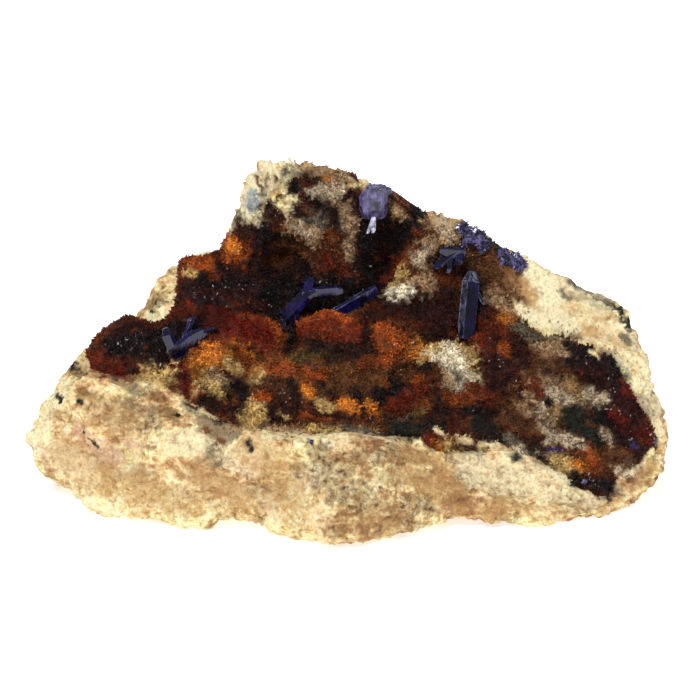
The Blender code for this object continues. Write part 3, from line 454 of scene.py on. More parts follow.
def addNode(tree, kind, settings=None, **inputs):
    # a shader node with its settings, and values or links for its inputs by name
    node = tree.nodes.new(kind)
    for key, value in (settings or {}).items():
        setattr(node, key, value)
    for key, value in inputs.items():
        socket = node.inputs[int(key[1:])] if key[0] == "i" and key[1:].isdigit() else node.inputs[key]
        if isinstance(value, bpy.types.NodeSocket):
            tree.links.new(value, socket)
        else:
            socket.default_value = value
    return node


def ramp(tree, value, stops):
    node = addNode(tree, "ShaderNodeValToRGB", Fac=value)
    band = node.color_ramp
    while len(band.elements) < len(stops):
        band.elements.new(0.5)
    for element, (place, colour) in zip(band.elements, stops):
        element.position = place
        element.color = (*linear(colour), 1) if isinstance(colour, tuple) else (colour, colour, colour, 1)
    return node.outputs["Color"]


def noiseAt(tree, place, size, detail=3.0, rough=0.55):
    # noise with features of about that size in mm
    return addNode(tree, "ShaderNodeTexNoise", Vector=place, Scale=1 / (size * mm), Detail=detail,
                   Roughness=rough).outputs["Fac"]


def mixColour(tree, amount, first, second, blend="MIX"):
    node = addNode(tree, "ShaderNodeMix", {"data_type": "RGBA", "blend_type": blend})
    for socket, value in ((node.inputs[0], amount), (node.inputs[6], first), (node.inputs[7], second)):
        if isinstance(value, bpy.types.NodeSocket):
            tree.links.new(value, socket)
        elif isinstance(value, tuple):
            socket.default_value = (*value, 1)
        else:
            socket.default_value = value
    return node.outputs[2]


def mathNode(tree, operation, first, second, third=0.5):
    return addNode(
        tree, "ShaderNodeMath", {"operation": operation}, i0=first, i1=second, i2=third).outputs[0]


def bumped(tree, height, strength, distance):
    node = addNode(tree, "ShaderNodeBump", Height=height, Strength=strength, Distance=distance)
    return node.outputs["Normal"]


def numberAt(tree, name):
    return addNode(tree, "ShaderNodeAttribute", {"attribute_name": name}).outputs["Fac"]


def setConstants(shader, **values):
    for name, value in values.items():
        shader.inputs[name.replace("_", " ")].default_value = value


# The broken rock

rock = {
    "frontEdge": 0.31 * mm, "backEdge": 0.60 * mm, "hiddenEdge": 1.8 * mm, "coveredWithin": 0.8 * mm,
    "lumpSize": 4.2, "lumpHeight": 0.45, "chipSize": 2.1, "chipHeight": 0.30,
    "grainSize": 0.8, "grainHeight": 0.14, "furrowSize": 1.5, "furrowDepth": 0.42,
    "fibreHeight": 0.65, "layerHeight": 0.30, "peakFoot": 31.0, "layersFrom": 11.0,
    "footHeight": 0.01 * mm,     # lower points belong to the level underside
    "calmWithin": 0.30, "fadeOver": 0.9, "calmShare": 0.15,     # relief this near to the crust
    "spillReach": 2.6, "spillFade": 2.2, "tintStrength": 0.62}


# Colours and brightness along a noise, each with its place from 0 to 1
stoneShades = [
    (0.42, (1.0, 0.97, 0.82)), (0.49, (0.97, 0.89, 0.67)), (0.535, (0.83, 0.69, 0.48)),
    (0.60, (0.60, 0.43, 0.28))]
stoneHues = [(0.38, (0.97, 0.98, 0.93)), (0.48, (1.0, 1.0, 0.98)), (0.58, (1.0, 0.94, 0.91))]
stoneGrains = [(0.30, 0.64), (0.46, 1.04), (0.64, 1.24)]
quartzShades = [(0.38, (0.16, 0.07, 0.035)), (0.52, (0.34, 0.13, 0.05)), (0.64, (0.50, 0.25, 0.09))]


def stoneColour(tree, place, low):
    # the rock's own mottled cream and tan, with painted shade: browner where the surface lies low
    broad = noiseAt(tree, place, 3.6, 5.0, 0.65)
    small = noiseAt(tree, place, 1.15, 4.0, 0.65)
    flat = addNode(tree, "ShaderNodeMapping", Vector=place)
    flat.inputs["Scale"].default_value = (1.0, 1.0, 2.3)
    streaks = addNode(tree, "ShaderNodeTexNoise", Vector=flat.outputs[0], Scale=1 / (4.2 * mm), Detail=4.0,
                      Roughness=0.65, Distortion=1.5).outputs["Fac"]
    uneven = addNode(tree, "ShaderNodeVectorMath", {"operation": "DOT_PRODUCT"}, i1=(0.34, 0.32, 0.34))
    joined = addNode(tree, "ShaderNodeCombineXYZ", X=broad, Y=small, Z=streaks)
    tree.links.new(joined.outputs[0], uneven.inputs[0])
    wide = mathNode(tree, "MULTIPLY_ADD", noiseAt(tree, place, 13.0, 2.0, 0.5), 0.28, -0.14)
    colour = ramp(tree, mathNode(tree, "ADD", uneven.outputs["Value"], wide), stoneShades)
    hue = ramp(tree, noiseAt(tree, place, 5.5, 4.0, 0.7), stoneHues)
    colour = mixColour(tree, 0.9, colour, hue, "MULTIPLY")
    return mixColour(tree, mathNode(tree, "MULTIPLY", low, 0.7), colour, (0.30, 0.17, 0.08)), small


def rockMaterial():
    material, tree, shader = newMaterial("brokenRock")
    place = addNode(tree, "ShaderNodeTexCoord").outputs["Object"]
    stain = addNode(tree, "ShaderNodeAttribute", {"attribute_name": "stain"})
    low = numberAt(tree, "recessShade")
    colour, small = stoneColour(tree, place, low)
    fine = noiseAt(tree, place, 0.42, 3.0, 0.7)
    middling = noiseAt(tree, place, 0.8, 4.0, 0.6)
    ragged = mathNode(tree, "MULTIPLY_ADD", mathNode(tree, "ADD", small, middling), -1.5, 1.5)
    edge = mathNode(tree, "ADD", stain.outputs["Alpha"], ragged)
    cover = addNode(tree, "ShaderNodeMapRange", Value=edge, i1=0.10, i2=0.95).outputs[0]
    colour = mixColour(tree, cover, colour, stain.outputs["Color"])
    colour = mixColour(tree, 0.9, colour, ramp(tree, fine, stoneGrains), "MULTIPLY")
    # painted shade: clusters of small dark dots stand in for the shade of tiny pits
    pits = addNode(tree, "ShaderNodeTexVoronoi", Vector=place, Scale=1 / (0.9 * mm))
    few = mathNode(tree, "GREATER_THAN", pits.outputs["Color"], 0.68)
    inCluster = ramp(tree, noiseAt(tree, place, 4.0, 2.0, 0.5), [(0.48, 0.0), (0.60, 1.0)])
    inPit = ramp(tree, pits.outputs["Distance"], [(0.06, 1.0), (0.26, 0.0)])
    dark = mathNode(tree, "MULTIPLY", mathNode(tree, "MULTIPLY", inPit, inCluster), few)
    colour = mixColour(tree, mathNode(tree, "MULTIPLY", dark, 0.7), colour, (0.10, 0.065, 0.05))
    tree.links.new(colour, shader.inputs["Base Color"])
    setConstants(shader, Roughness=0.8, Specular_IOR_Level=0.3)
    relief = bumped(tree, noiseAt(tree, place, 0.45, 5.0, 0.75), 1.0, 0.0005)
    tree.links.new(relief, shader.inputs["Normal"])
    return material


def facet(point, size, seed):
    # height of angular chips: every cell of a loose net leans its own way
    place = point / size + Vector((seed, seed, seed))
    centre = noise.voronoi(place)[1][0]
    lean = noise.cell_vector(centre * 17.3) - Vector((0.5, 0.5, 0.5))
    return (place - centre).dot(lean) * 2


def refine(shape, wanted, passes):
    # halves every edge that is much longer than wanted at its middle
    for _ in range(passes):
        long = [edge for edge in shape.edges
                if edge.calc_length() > 1.4 * wanted((edge.verts[0].co + edge.verts[1].co) / 2)]
        if not long:
            break
        bmesh.ops.subdivide_edges(shape, edges=long, cuts=1, use_grid_fill=False)
        bmesh.ops.triangulate(shape, faces=[face for face in shape.faces if len(face.verts) > 3])


def rounded(shape, verts, rounds):
    # takes the edge off the facets without shrinking the whole
    for _ in range(rounds):
        for amount in (0.5, -0.52):
            bmesh.ops.smooth_vert(
                shape, verts=verts, factor=amount, use_axis_x=True, use_axis_y=True, use_axis_z=True)


def rockRelief(point):
    # height of the broken surface in mm at a point given in mm
    height = rock["lumpHeight"] * noise.fractal(point / rock["lumpSize"], 0.9, 2.0, 4)
    height += rock["chipHeight"] * facet(point, rock["chipSize"], 3.1)
    height += rock["grainHeight"] * facet(point, rock["grainSize"], 8.7)
    ridge = abs(noise.noise(point / rock["furrowSize"] + Vector((5, 1, 8))))
    height += rock["furrowDepth"] * (min(ridge, 0.25) * 4 - 0.6) * 0.5
    high = clamped((point.z - rock["peakFoot"]) / 4)
    if high > 0:
        grain = Vector((point.x / 0.75 + point.z * 0.12, point.y / 0.75, point.z / 5.5))
        height += high * rock["fibreHeight"] * noise.fractal(grain, 0.9, 2.0, 2)
    aside = clamped((point.x - rock["layersFrom"]) / 5) * (1 - high)
    if aside > 0:
        grain = Vector((point.x / 7 + point.z * 0.05, point.y / 7, point.z / 0.95))
        height += aside * rock["layerHeight"] * noise.fractal(grain, 0.9, 2.0, 2)
    return height


def buildRock():
    shape = rockSolid.copy()

    def wanted(point):
        if point.z < rock["footHeight"] or crustTree.find_nearest(point)[3] < rock["coveredWithin"]:
            return rock["hiddenEdge"]
        facing = point.y - aimPoint.y - (point.z - aimPoint.z) * 0.5
        return rock["frontEdge"] if facing < 5 * mm else rock["backEdge"]

    refine(shape, wanted, 1)
    rounded(shape, [vert for vert in shape.verts if vert.co.z > rock["footHeight"]], 3)
    refine(shape, wanted, 4)
    shape.normal_update()
    folds = raisedBy(np.array([vert.co[:] for vert in shape.verts]), rockFolds)
    moves = []
    for vert, fold in zip(shape.verts, folds):
        if vert.co.z < rock["footHeight"]:
            moves.append((vert, 0.0, 0.0))
            continue
        cover = crustTree.find_nearest(vert.co)[3] / mm
        bare = clamped((cover - rock["calmWithin"]) / rock["fadeOver"])
        height = rockRelief(vert.co / mm) + fold
        moves.append((vert, height * (rock["calmShare"] + (1 - rock["calmShare"]) * bare), height))
    # painted shade, stronger where the relief lies low
    recessShade = [clamped(-height * 1.3 + 0.1) for vert, move, height in moves]
    for vert, move, height in moves:
        vert.co += vert.normal * move * mm
        vert.co.z = max(vert.co.z, 0.0)
    piece = newPiece("matrixSurface", shape, rockMaterial(), True)
    points = meshPoints(piece.data)
    storeNumber(piece.data, "recessShade", recessShade)
    layers = ((druseStains, 1.0), (rockTints, rock["tintStrength"]), (thinSpots, 1.0), (rockStains, 1.0))
    wander = 0.7 * speckle(points, 1.5 * mm, 1) + 0.9 * speckle(points, 0.6 * mm, 3)
    colour, strength, _ = stained(points, layers, wander)
    storeColour(piece.data, "stain", colour, strength)
    storeNumber(piece.data, "stony", 1 - strength)
    cover = np.array([crustTree.find_nearest(point)[3] for point in points]) / mm
    patchy = np.clip(0.55 + 0.9 * speckle(points, 2.2 * mm, 6), 0, 1)
    near = np.clip((rock["spillReach"] - cover) / rock["spillFade"], 0, 1) * np.clip(cover * 4 - 0.8, 0, 1)
    storeNumber(piece.data, "spill", near * patchy * np.clip(strength * 4 - 2, 0, 1))
    belongs(piece, "matrix_rock")
    print("rock", len(piece.data.polygons), "faces")
    return piece


# The crust that the quartz crystals grow from

crust = {
    "edge": 0.38 * mm, "innerEdge": 2.4 * mm, "sunk": 0.45 * mm, "rimSunk": 1.3 * mm,
    "lumpSize": 2.6, "lumpHeight": 0.8, "beadSize": 1.25, "beadHeight": 0.45,
    "roughSize": 0.9, "roughHeight": 0.16, "calmWithin": 0.5, "fadeOver": 0.9, "thinLayers": 4}

# Round pads of quartz, each between two pixels of the photograph, with its radius and rise in mm
quartzPads = [
    (312, 322, 352, 326, 2.1, 1.1), (388, 333, 392, 337, 2.2, 1.2), (246, 328, 268, 334, 2.4, 0.9),
    (212, 350, 224, 346, 2.0, 0.7), (277, 366, 278, 367, 1.9, 0.8), (314, 372, 315, 374, 1.5, 0.6),
    (306, 392, 309, 392, 1.2, 0.7), (346, 406, 349, 407, 1.3, 0.8), (369, 404, 371, 405, 1.2, 0.8),
    (325, 405, 326, 406, 1.1, 0.5), (260, 398, 260, 410, 1.7, 0.8), (220, 386, 222, 392, 1.8, 0.6),
    (427, 350, 430, 350, 1.3, 0.7), (448, 350, 458, 376, 1.8, 0.7), (392, 400, 426, 377, 1.1, 0.7),
    (392, 296, 416, 286, 1.6, 0.9), (352, 284, 354, 290, 1.4, 0.6), (196, 296, 262, 292, 2.0, 0.9),
    (190, 268, 208, 268, 1.6, 0.6), (398, 210, 402, 214, 1.0, 0.6), (440, 226, 446, 238, 2.0, 0.7),
    (412, 258, 400, 268, 1.4, 0.5), (230, 246, 232, 250, 1.6, 0.6), (112, 348, 128, 342, 2.2, 0.5),
    (338, 366, 342, 370, 1.4, 0.5), (372, 382, 376, 384, 1.4, 0.5), (352, 386, 354, 386, 1.2, 0.4),
    (292, 346, 296, 348, 1.2, 0.4), (576, 426, 582, 432, 2.0, 0.6), (586, 455, 590, 458, 1.2, 0.7),
    (572, 462, 576, 464, 1.1, 0.6), (616, 396, 626, 410, 2.0, 0.5), (404, 428, 424, 430, 1.8, 0.6),
    (596, 364, 604, 368, 1.8, 0.5), (500, 356, 506, 366, 2.0, 0.5), (520, 386, 526, 392, 2.0, 0.5),
    (442, 312, 448, 316, 1.6, 0.4), (300, 234, 310, 236, 1.6, 0.5), (330, 212, 336, 218, 1.4, 0.4),
    (314, 192, 330, 196, 1.2, 0.4)]

quartzIor = 1.544

# Painted shade in low places, range of shades from crystal to crystal, and painted highlight on the tips
stainedLook = {"clear": 0.0, "recessShadeDepth": 0.88, "darkest": 0.45, "tipHighlight": (1.8, 1.6, 1.4)}
quartzLooks = {
    "stainedGround": {**stainedLook, "roughness": 0.4, "shine": 0.25, "lightest": 1.45},
    "stainedQuartz": {**stainedLook, "roughness": 0.10, "shine": 0.15, "lightest": 1.5},
    "paleQuartz": {
        "roughness": 0.12, "clear": 0.25, "shine": 0.4, "recessShadeDepth": 0.65, "darkest": 0.55,
        "lightest": 1.2, "tipHighlight": (1.3, 1.25, 1.2)}}


def quartzMaterial(name):
    look = quartzLooks[name]
    material, tree, shader = newMaterial(name)
    place = addNode(tree, "ShaderNodeTexCoord").outputs["Object"]
    stain = addNode(tree, "ShaderNodeAttribute", {"attribute_name": "stain"})
    base = ramp(tree, noiseAt(tree, place, 2.6, 3.0, 0.6), quartzShades)
    colour = mixColour(tree, stain.outputs["Alpha"], base, stain.outputs["Color"])
    patches = ramp(tree, noiseAt(tree, place, 1.0, 3.0, 0.6), [(0.34, 0.4), (0.66, 1.5)])
    colour = mixColour(tree, 0.6, colour, patches, "MULTIPLY")
    # painted shade: low places of the crust darken towards black
    low = numberAt(tree, "recessShade")
    sunk = mixColour(tree, look["recessShadeDepth"], colour, (0.01, 0.005, 0.004))
    colour = mixColour(tree, low, colour, sunk)
    shade = addNode(tree, "ShaderNodeMapRange", Value=numberAt(tree, "tint"),
                    i3=look["darkest"], i4=look["lightest"]).outputs[0]
    colour = mixColour(tree, 1.0, colour, shade, "MULTIPLY")
    # painted highlight: the crystals' tips are brightened
    tipHighlight = mixColour(tree, 1.0, colour, look["tipHighlight"], "MULTIPLY")
    colour = mixColour(tree, numberAt(tree, "tip"), colour, tipHighlight)
    stone, _ = stoneColour(tree, place, low)
    grains = ramp(tree, noiseAt(tree, place, 0.42, 3.0, 0.7), [(0.32, 0.50), (0.48, 0.80), (0.64, 0.98)])
    stone = mixColour(tree, 1.0, stone, grains, "MULTIPLY")
    colour = mixColour(tree, numberAt(tree, "stony"), colour, stone)
    tree.links.new(colour, shader.inputs["Base Color"])
    setConstants(shader, Roughness=look["roughness"], Specular_IOR_Level=look["shine"], IOR=quartzIor,
                 Transmission_Weight=look["clear"])
    relief = bumped(tree, noiseAt(tree, place, 0.4, 4.0, 0.7), 0.9, 0.0004)
    tree.links.new(relief, shader.inputs["Normal"])
    return material


def buildGround():
    shape = crustSolid.copy()

    def outward(face):
        middle = face.calc_center_median()
        return face.normal.dot(rockTree.find_nearest(middle)[0] - middle) < 0

    outer = [vert for vert in shape.verts if any(outward(face) for face in vert.link_faces)]
    rounded(shape, outer, 3)

    def wanted(point):
        return crust["edge"] if rockTree.find_nearest(point)[3] > 0.7 * mm else crust["innerEdge"]

    refine(shape, wanted, 3)
    shape.normal_update()
    points = np.array([vert.co[:] for vert in shape.verts])
    pads = raisedBy(points, quartzPads)
    first = crust["thinLayers"]
    layers = ((thinSpots[:first], 1.0), (druseStains, 1.0), (thinSpots[first:], 1.0))
    wander = 1.5 * speckle(points, 1.6 * mm, 2) + 1.2 * speckle(points, 0.55 * mm, 4)
    colour, strength, shares = stained(points, layers, wander)
    recessShade = []
    for vert, pad, stony in zip(shape.verts, pads, shares["cream"]):
        _, facing, _, away = rockTree.find_nearest(vert.co)
        free = clamped((away / mm - crust["calmWithin"]) / crust["fadeOver"])
        free *= clamped((vert.normal.dot(facing) - 0.15) / 0.45)
        point = vert.co / mm
        lump = 0.45 - 1.15 * noise.voronoi(point / crust["lumpSize"])[0][0]
        bead = 0.45 - 1.15 * noise.voronoi(point / crust["beadSize"] + Vector((3, 1, 7)))[0][0]
        rough = noise.fractal(point / crust["roughSize"], 0.8, 2.0, 3)
        height = (crust["lumpHeight"] * lump + crust["beadHeight"] * bead + pad) * (1 - 0.6 * stony)
        height += crust["roughHeight"] * rough
        height += stony * (0.35 + 0.8 * rockRelief(point))
        # painted shade, stronger where the crust lies low
        recessShade.append(clamped(0.35 - height * 0.75) * free)
        lower = crust["sunk"] * free + crust["rimSunk"] * (1 - free)
        vert.co += vert.normal * height * free * 0.8 * mm - facing * lower
    piece = newPiece("quartzGround", shape, quartzMaterial("stainedGround"), True)
    storeColour(piece.data, "stain", colour, strength)
    pale = sum(shares[name] for name in ("straw", "paleTan", "bone", "white", "grey", "tan"))
    lit = np.clip(pale, 0, 1)
    storeNumber(piece.data, "recessShade", np.array(recessShade) * (1 - 0.5 * lit))
    storeNumber(piece.data, "stony", shares["cream"])
    storeNumber(piece.data, "tint", 0.35 + 0.35 * lit)
    over = []
    for point in meshPoints(piece.data):
        near, facing, _, _ = rockTree.find_nearest(point)
        over.append((Vector(point) - near).dot(facing) / mm)
    grown = np.clip((np.array(over) + 0.2) / 0.3, 0, 1) * np.clip(3 - 20 * shares["cream"], 0, 1)
    storeNumber(piece.data, "growth", grown * (1 - pale) ** 2)
    storeNumber(piece.data, "paleGrowth", grown * np.clip(pale * 1.5 - 0.2, 0, 1))
    clustered = np.clip(1.2 * speckle(points, 2.5 * mm, 9) - 0.3, 0, 1)
    for line in glints:
        clustered = np.maximum(clustered, np.clip(1.4 - fromLine(points, *line), 0, 1))
    patchy = np.clip(0.12 + 1.1 * speckle(points, 0.9 * mm, 12), 0, 1)
    storeNumber(piece.data, "sparkle", grown * clustered * patchy)
    belongs(piece, "quartz_crust")
    print("crust", len(piece.data.polygons), "faces")
    return piece


# Quartz crystals, scattered over the crust

crystals = {
    "sunk": 0.10 * mm,      # depth of each crystal's foot in its ground
    "bands": [-1.0, -17 * mm, 0 * mm, 17 * mm, 1.0],     # where one stained piece ends and the next begins
    "bandSeed": 7, "densest": 1.6}

# For each field the attribute that says where it grows, the sizes of its crystals as a range of
# their usual width and length, and how far they lean in radians
crystalFields = {
    "quartzCrystals": {
        "seed": 11, "spacing": 0.21 * mm, "width": 0.12 * mm, "length": 0.40 * mm,
        "lean": 0.6, "sizes": (0.5, 1.5)},
    "paleCrystals": {
        "mask": "paleGrowth", "seed": 71, "spacing": 0.27 * mm, "width": 0.15 * mm, "length": 0.46 * mm,
        "lean": 0.7, "sizes": (0.5, 1.6)},
    "edgeCrystals": {
        "mask": "spill", "seed": 81, "spacing": 0.36 * mm, "width": 0.15 * mm, "length": 0.42 * mm,
        "lean": 1.1, "sizes": (0.4, 1.5)},
    "clearCrystals": {
        "mask": "sparkle", "seed": 91, "spacing": 0.36 * mm, "width": 0.08 * mm, "length": 0.40 * mm,
        "lean": 0.7, "sizes": (0.4, 1.6)},
    "violetGrains": {
        "mask": "grains", "seed": 31, "spacing": 0.22 * mm, "width": 0.10 * mm, "length": 0.34 * mm,
        "lean": 0.9, "sizes": (0.5, 1.6)}}


def crystalShape(name, slant):
    # a six-sided crystal with its point a little off the middle, one unit high and two wide
    shape = bmesh.new()
    ring = bmesh.ops.create_cone(
        shape, cap_ends=True, segments=6, radius1=1.0, radius2=0.9, depth=0.66)["verts"]
    bmesh.ops.translate(shape, verts=ring, vec=(0, 0, 0.33))
    top = [face for face in shape.faces if face.normal.z > 0.9]
    point = bmesh.ops.poke(shape, faces=top)["verts"]
    bmesh.ops.translate(shape, verts=point, vec=(slant[0], slant[1], 0.34))
    bmesh.ops.recalc_face_normals(shape, faces=shape.faces)
    mesh = bpy.data.meshes.new(name)
    shape.to_mesh(mesh)
    shape.free()
    # how far up the crystal each point lies, for the painted highlight on the tips
    storeNumber(mesh, "tip", [max(0.0, vert.co.z - 0.5) * 2 for vert in mesh.vertices])
    item = bpy.data.objects.new(name, mesh)
    bpy.context.scene.collection.objects.link(item)
    item.hide_render = True
    return item


def scattered(name, ground, shapes, material, settings):
    # a joined mesh of crystals that stand on the ground where the field's mask says so
    group = bpy.data.node_groups.new(name, "GeometryNodeTree")
    group.interface.new_socket("Geometry", in_out="INPUT", socket_type="NodeSocketGeometry")
    group.interface.new_socket("Geometry", in_out="OUTPUT", socket_type="NodeSocketGeometry")
    source = group.nodes.new("NodeGroupInput").outputs[0]
    where = addNode(group, "GeometryNodeInputNamedAttribute", {"data_type": "FLOAT"}, Name=settings["mask"])
    spread = addNode(group, "GeometryNodeDistributePointsOnFaces", {"distribute_method": "POISSON"},
                     Mesh=source, Seed=settings["seed"])
    spread.inputs["Distance Min"].default_value = settings["spacing"]
    spread.inputs["Density Max"].default_value = crystals["densest"] / settings["spacing"] ** 2
    group.links.new(where.outputs["Attribute"], spread.inputs["Density Factor"])

    def drawn(kind, step, low=None, high=None):
        # a random value for each crystal
        node = addNode(group, "FunctionNodeRandomValue", {"data_type": kind}, Seed=settings["seed"] + step)
        if low:
            node.inputs[0].default_value = low
            node.inputs[1].default_value = high
        return node

    tint = drawn("FLOAT", 1)
    tinted = addNode(group, "GeometryNodeStoreNamedAttribute", {"data_type": "FLOAT", "domain": "POINT"},
                     Geometry=spread.outputs["Points"], Name="tint")
    group.links.new(tint.outputs[1], tinted.inputs["Value"])

    cast = []
    for item in shapes:
        info = addNode(group, "GeometryNodeObjectInfo", Object=item)
        cast.append(info.outputs["Geometry"])
    palette = group.nodes.new("GeometryNodeGeometryToInstance")
    for shape in reversed(cast):
        group.links.new(shape, palette.inputs[0])
    which = drawn("INT", 2)
    which.inputs[4].default_value = 0
    which.inputs[5].default_value = len(shapes) - 1
    most = (settings["lean"], settings["lean"], math.pi)
    lean = drawn("FLOAT_VECTOR", 3, [-angle for angle in most], most)
    turned = addNode(group, "FunctionNodeRotateEuler", {"space": "LOCAL"},
                     Rotation=spread.outputs["Rotation"], i1=lean.outputs[0])
    typical = (settings["width"], settings["width"], settings["length"])
    size = drawn("FLOAT_VECTOR", 4, *([side * times for side in typical] for times in settings["sizes"]))
    placed = addNode(group, "GeometryNodeInstanceOnPoints", Points=tinted.outputs["Geometry"],
                     Rotation=turned.outputs[0], Scale=size.outputs[0])
    group.links.new(palette.outputs[0], placed.inputs["Instance"])
    placed.inputs["Pick Instance"].default_value = True
    group.links.new(which.outputs[2], placed.inputs["Instance Index"])
    sunk = addNode(group, "GeometryNodeTranslateInstances", Instances=placed.outputs[0])
    sunk.inputs["Translation"].default_value = (0, 0, -crystals["sunk"])
    sunk.inputs["Local Space"].default_value = True
    real = addNode(group, "GeometryNodeRealizeInstances", Geometry=sunk.outputs[0])
    result = group.nodes.new("NodeGroupOutput")
    group.links.new(real.outputs[0], result.inputs[0])

    carrier = ground.copy()
    bpy.context.scene.collection.objects.link(carrier)
    modifier = carrier.modifiers.new("scatter", "NODES")
    modifier.node_group = group
    bpy.context.view_layer.update()
    seen = carrier.evaluated_get(bpy.context.evaluated_depsgraph_get())
    mesh = bpy.data.meshes.new_from_object(seen)
    bpy.data.objects.remove(carrier)
    mesh.name = name
    mesh.materials.clear()
    mesh.materials.append(material)
    piece = bpy.data.objects.new(name, mesh)
    bpy.context.scene.collection.objects.link(piece)
    print(name, len(mesh.polygons), "faces")
    return piece


def clearMaterial():
    material, tree, shader = newMaterial("clearQuartz")
    setConstants(shader, Base_Color=(0.95, 0.90, 0.84, 1), Roughness=0.05, IOR=quartzIor,
                 Transmission_Weight=0.65)
    return material


def buildCrystals(ground, stone):
    shapes = [crystalShape("crystalSlim", (0.1, 0.0)), crystalShape("crystalLeaning", (0.4, 0.15)),
              crystalShape("crystalBlunt", (-0.25, 0.3))]
    stainedQuartz = quartzMaterial("stainedQuartz")
    paleQuartz = quartzMaterial("paleQuartz")
    points = meshPoints(ground.data)
    growth = np.empty(len(points))
    ground.data.attributes["growth"].data.foreach_get("value", growth)
    bands = crystals["bands"]
    for index, (low, high) in enumerate(zip(bands, bands[1:])):
        settings = {**crystalFields["quartzCrystals"], "mask": f"growthBand{index + 1}"}
        settings["seed"] += crystals["bandSeed"] * index
        inside = (points[:, 0] >= low) & (points[:, 0] < high)
        storeNumber(ground.data, settings["mask"], growth * inside)
        piece = scattered(f"quartzCrystals{index + 1}", ground, shapes, stainedQuartz, settings)
        belongs(piece, "quartz_crust")
    for name, foot, forms, material, node in (
            ("paleCrystals", ground, shapes[1:], paleQuartz, "quartz_crust"),
            ("edgeCrystals", stone, shapes[1:], paleQuartz, "matrix_rock"),
            ("clearCrystals", ground, shapes, clearMaterial(), "quartz_crust")):
        piece = scattered(name, foot, forms, material, crystalFields[name])
        belongs(piece, node)


# The azurite

azurite = {
    "bevel": 0.08 * mm, "sameFace": math.radians(2), "sharpOver": 0.3,     # radians
    "sheetFoot": 37.1 * mm,     # below it hang the top cluster's blades, which get the paler look as a painted reflection
    "prismTint": 0.2, "tint": 0.5,
    # nodes with the lighter violet look: the crusts' own violet, and on the top cluster also a painted
    # reflection of the light on its upward face
    "violetNodes": ("azurite_top_cluster", "azurite_ridge_left", "azurite_ridge_right")}

# The darkest and the brightest colour, the roughness, and the size of colour patches in mm. The two
# highlight looks are paler copies: a painted highlight on bevels and a painted reflection on faces turned
# towards the key lamp
azuriteLooks = {
    "azuriteDeep": ((0.002, 0.0015, 0.008), (0.007, 0.005, 0.055), 0.10, 1.6),
    "azuriteViolet": ((0.010, 0.008, 0.026), (0.10, 0.083, 0.21), 0.22, 0.9),
    "azuriteDeepHighlight": ((0.010, 0.009, 0.03), (0.12, 0.12, 0.19), 0.12, 0.8),
    "azuriteVioletHighlight": ((0.08, 0.07, 0.14), (0.50, 0.49, 0.62), 0.18, 0.8)}


def azuriteMaterial(name):
    deep, bright, gloss, patchSize = azuriteLooks[name]
    material, tree, shader = newMaterial(name)
    place = addNode(tree, "ShaderNodeTexCoord").outputs["Object"]
    patches = ramp(tree, noiseAt(tree, place, patchSize, 3.0, 0.6), [(0.40, 0.0), (0.62, 1.0)])
    colour = mixColour(tree, patches, deep, bright)
    shade = addNode(tree, "ShaderNodeMapRange", Value=numberAt(tree, "tint"), i3=0.3, i4=1.7).outputs[0]
    colour = mixColour(tree, 1.0, colour, shade, "MULTIPLY")
    upright = addNode(tree, "ShaderNodeMapping", Vector=place)
    upright.inputs["Scale"].default_value = (1.0, 1.0, 0.08)
    lines = noiseAt(tree, upright.outputs[0], 0.45, 2.0, 0.6)
    grooves = ramp(tree, lines, [(0.42, 0.45), (0.60, 1.4)])
    colour = mixColour(tree, 0.75, colour, grooves, "MULTIPLY")
    tree.links.new(colour, shader.inputs["Base Color"])
    setConstants(shader, Roughness=gloss, IOR=1.75, Specular_IOR_Level=0.3)
    tree.links.new(bumped(tree, lines, 0.30, 0.0001), shader.inputs["Normal"])
    return material


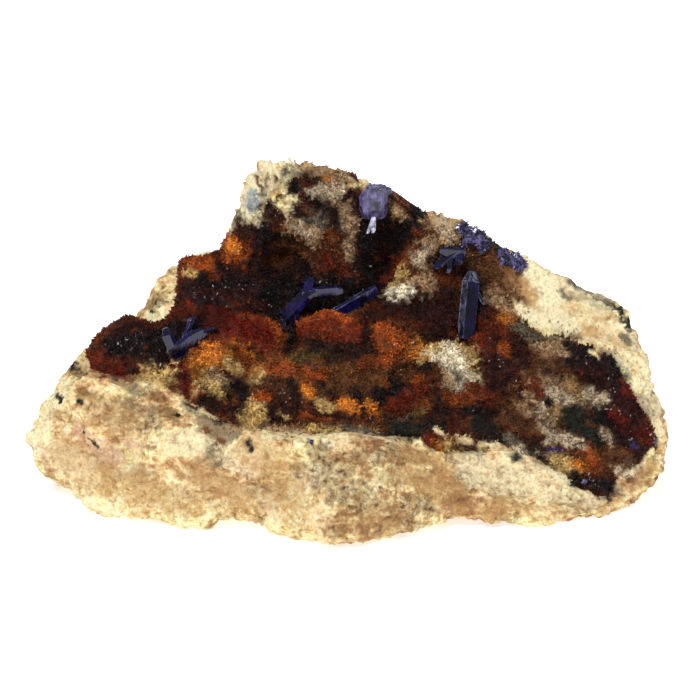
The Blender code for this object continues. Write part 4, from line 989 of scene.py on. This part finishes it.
def buildAzurite():
    deep, violet, deepHighlight, violetHighlight = [azuriteMaterial(name) for name in azuriteLooks]
    shapes = [item for item in bpy.data.objects if item.name.startswith("crystal")]
    for name in sorted(nodes):
        if not name.startswith("azurite"):
            continue
        shape = mergedCopy(name)
        bmesh.ops.dissolve_limit(shape, angle_limit=azurite["sameFace"], verts=shape.verts,
                                 edges=shape.edges, delimit={"NORMAL"})
        shape.normal_update()
        sharp = [edge for edge in shape.edges
                 if edge.is_manifold and edge.is_convex and edge.calc_face_angle() > azurite["sharpOver"]]
        narrow = bmesh.ops.bevel(shape, geom=sharp, offset=azurite["bevel"], offset_type="OFFSET",
                                 affect="EDGES", segments=1, profile=0.5, material=-1, clamp_overlap=True)
        shape.normal_update()
        # painted reflection: prism faces turned towards the key lamp and the top cluster's hanging blades
        # get the paler highlight look
        for face in shape.faces:
            middle = face.calc_center_median()
            lit = "prism" in name and face.normal.x < -0.35 and face.normal.y < 0
            hanging = "top" in name and middle.z < azurite["sheetFoot"]
            face.material_index = 1 if lit or hanging else 0
        # painted highlight on the bevels, palest where they face the key lamp
        for face in narrow["faces"]:
            face.material_index = 2 if face.normal.x < -0.4 and face.normal.y < 0.3 else 1
        pale = name in azurite["violetNodes"]
        piece = newPiece(name + "_crystal", shape, violet if pale else deep, False)
        piece.data.materials.append(violetHighlight if pale else deepHighlight)
        piece.data.materials.append(violetHighlight)
        tint = azurite["prismTint"] if "prism" in name else azurite["tint"]
        storeNumber(piece.data, "tint", [tint] * len(piece.data.vertices))
        belongs(piece, name)
        if "ridge" in name:
            storeNumber(piece.data, "grains", np.ones(len(piece.data.vertices)))
            grains = scattered(name + "_grains", piece, shapes, violet, crystalFields["violetGrains"])
            belongs(grains, name)
    for item in shapes:
        bpy.data.objects.remove(item)
    print("azurite done")


rockPiece = buildRock()
groundPiece = buildGround()
buildCrystals(groundPiece, rockPiece)
buildAzurite()


# Floor and light

studio = {
    "floorSize": 3.0, "floorGlow": 0.60, "skyStrength": 0.25,
    "keyPower": 3.05, "keyTurn": -20, "keyHeight": 50, "keySpread": 14,
    "fillPower": 0.7, "fillTurn": 75, "fillHeight": 50, "fillSpread": 25}


def sunLamp(name, power, turn, height, spread):
    lamp = bpy.data.lights.new(name, "SUN")
    lamp.energy = power
    lamp.angle = math.radians(spread)
    item = bpy.data.objects.new(name, lamp)
    a, b = math.radians(turn), math.radians(height)
    towards = Vector((math.sin(a) * math.cos(b), -math.cos(a) * math.cos(b), math.sin(b)))
    item.rotation_euler = towards.to_track_quat("Z", "Y").to_euler()
    bpy.context.scene.collection.objects.link(item)


def buildStudio():
    shape = bmesh.new()
    bmesh.ops.create_grid(shape, x_segments=1, y_segments=1, size=studio["floorSize"])
    material, tree, shader = newMaterial("whiteTable")
    setConstants(shader, Base_Color=(0.93, 0.93, 0.92, 1), Roughness=0.9, Emission_Color=(1, 1, 1, 1),
                 Emission_Strength=studio["floorGlow"])
    floor = newPiece("floor", shape, material, False)
    world = bpy.data.worlds.new("studioSky")
    world.use_nodes = True
    sky = world.node_tree.nodes["Background"]
    sky.inputs["Color"].default_value = (1, 1, 1, 1)
    sky.inputs["Strength"].default_value = studio["skyStrength"]
    bpy.context.scene.world = world
    sunLamp("keyLamp", studio["keyPower"], studio["keyTurn"], studio["keyHeight"], studio["keySpread"])
    sunLamp("fillLamp", studio["fillPower"], studio["fillTurn"], studio["fillHeight"], studio["fillSpread"])
    settings = bpy.context.scene.view_settings
    settings.view_transform = "Standard"
    settings.look = "None"


buildStudio()
rockSolid.free()
crustSolid.free()

print("scene ready")
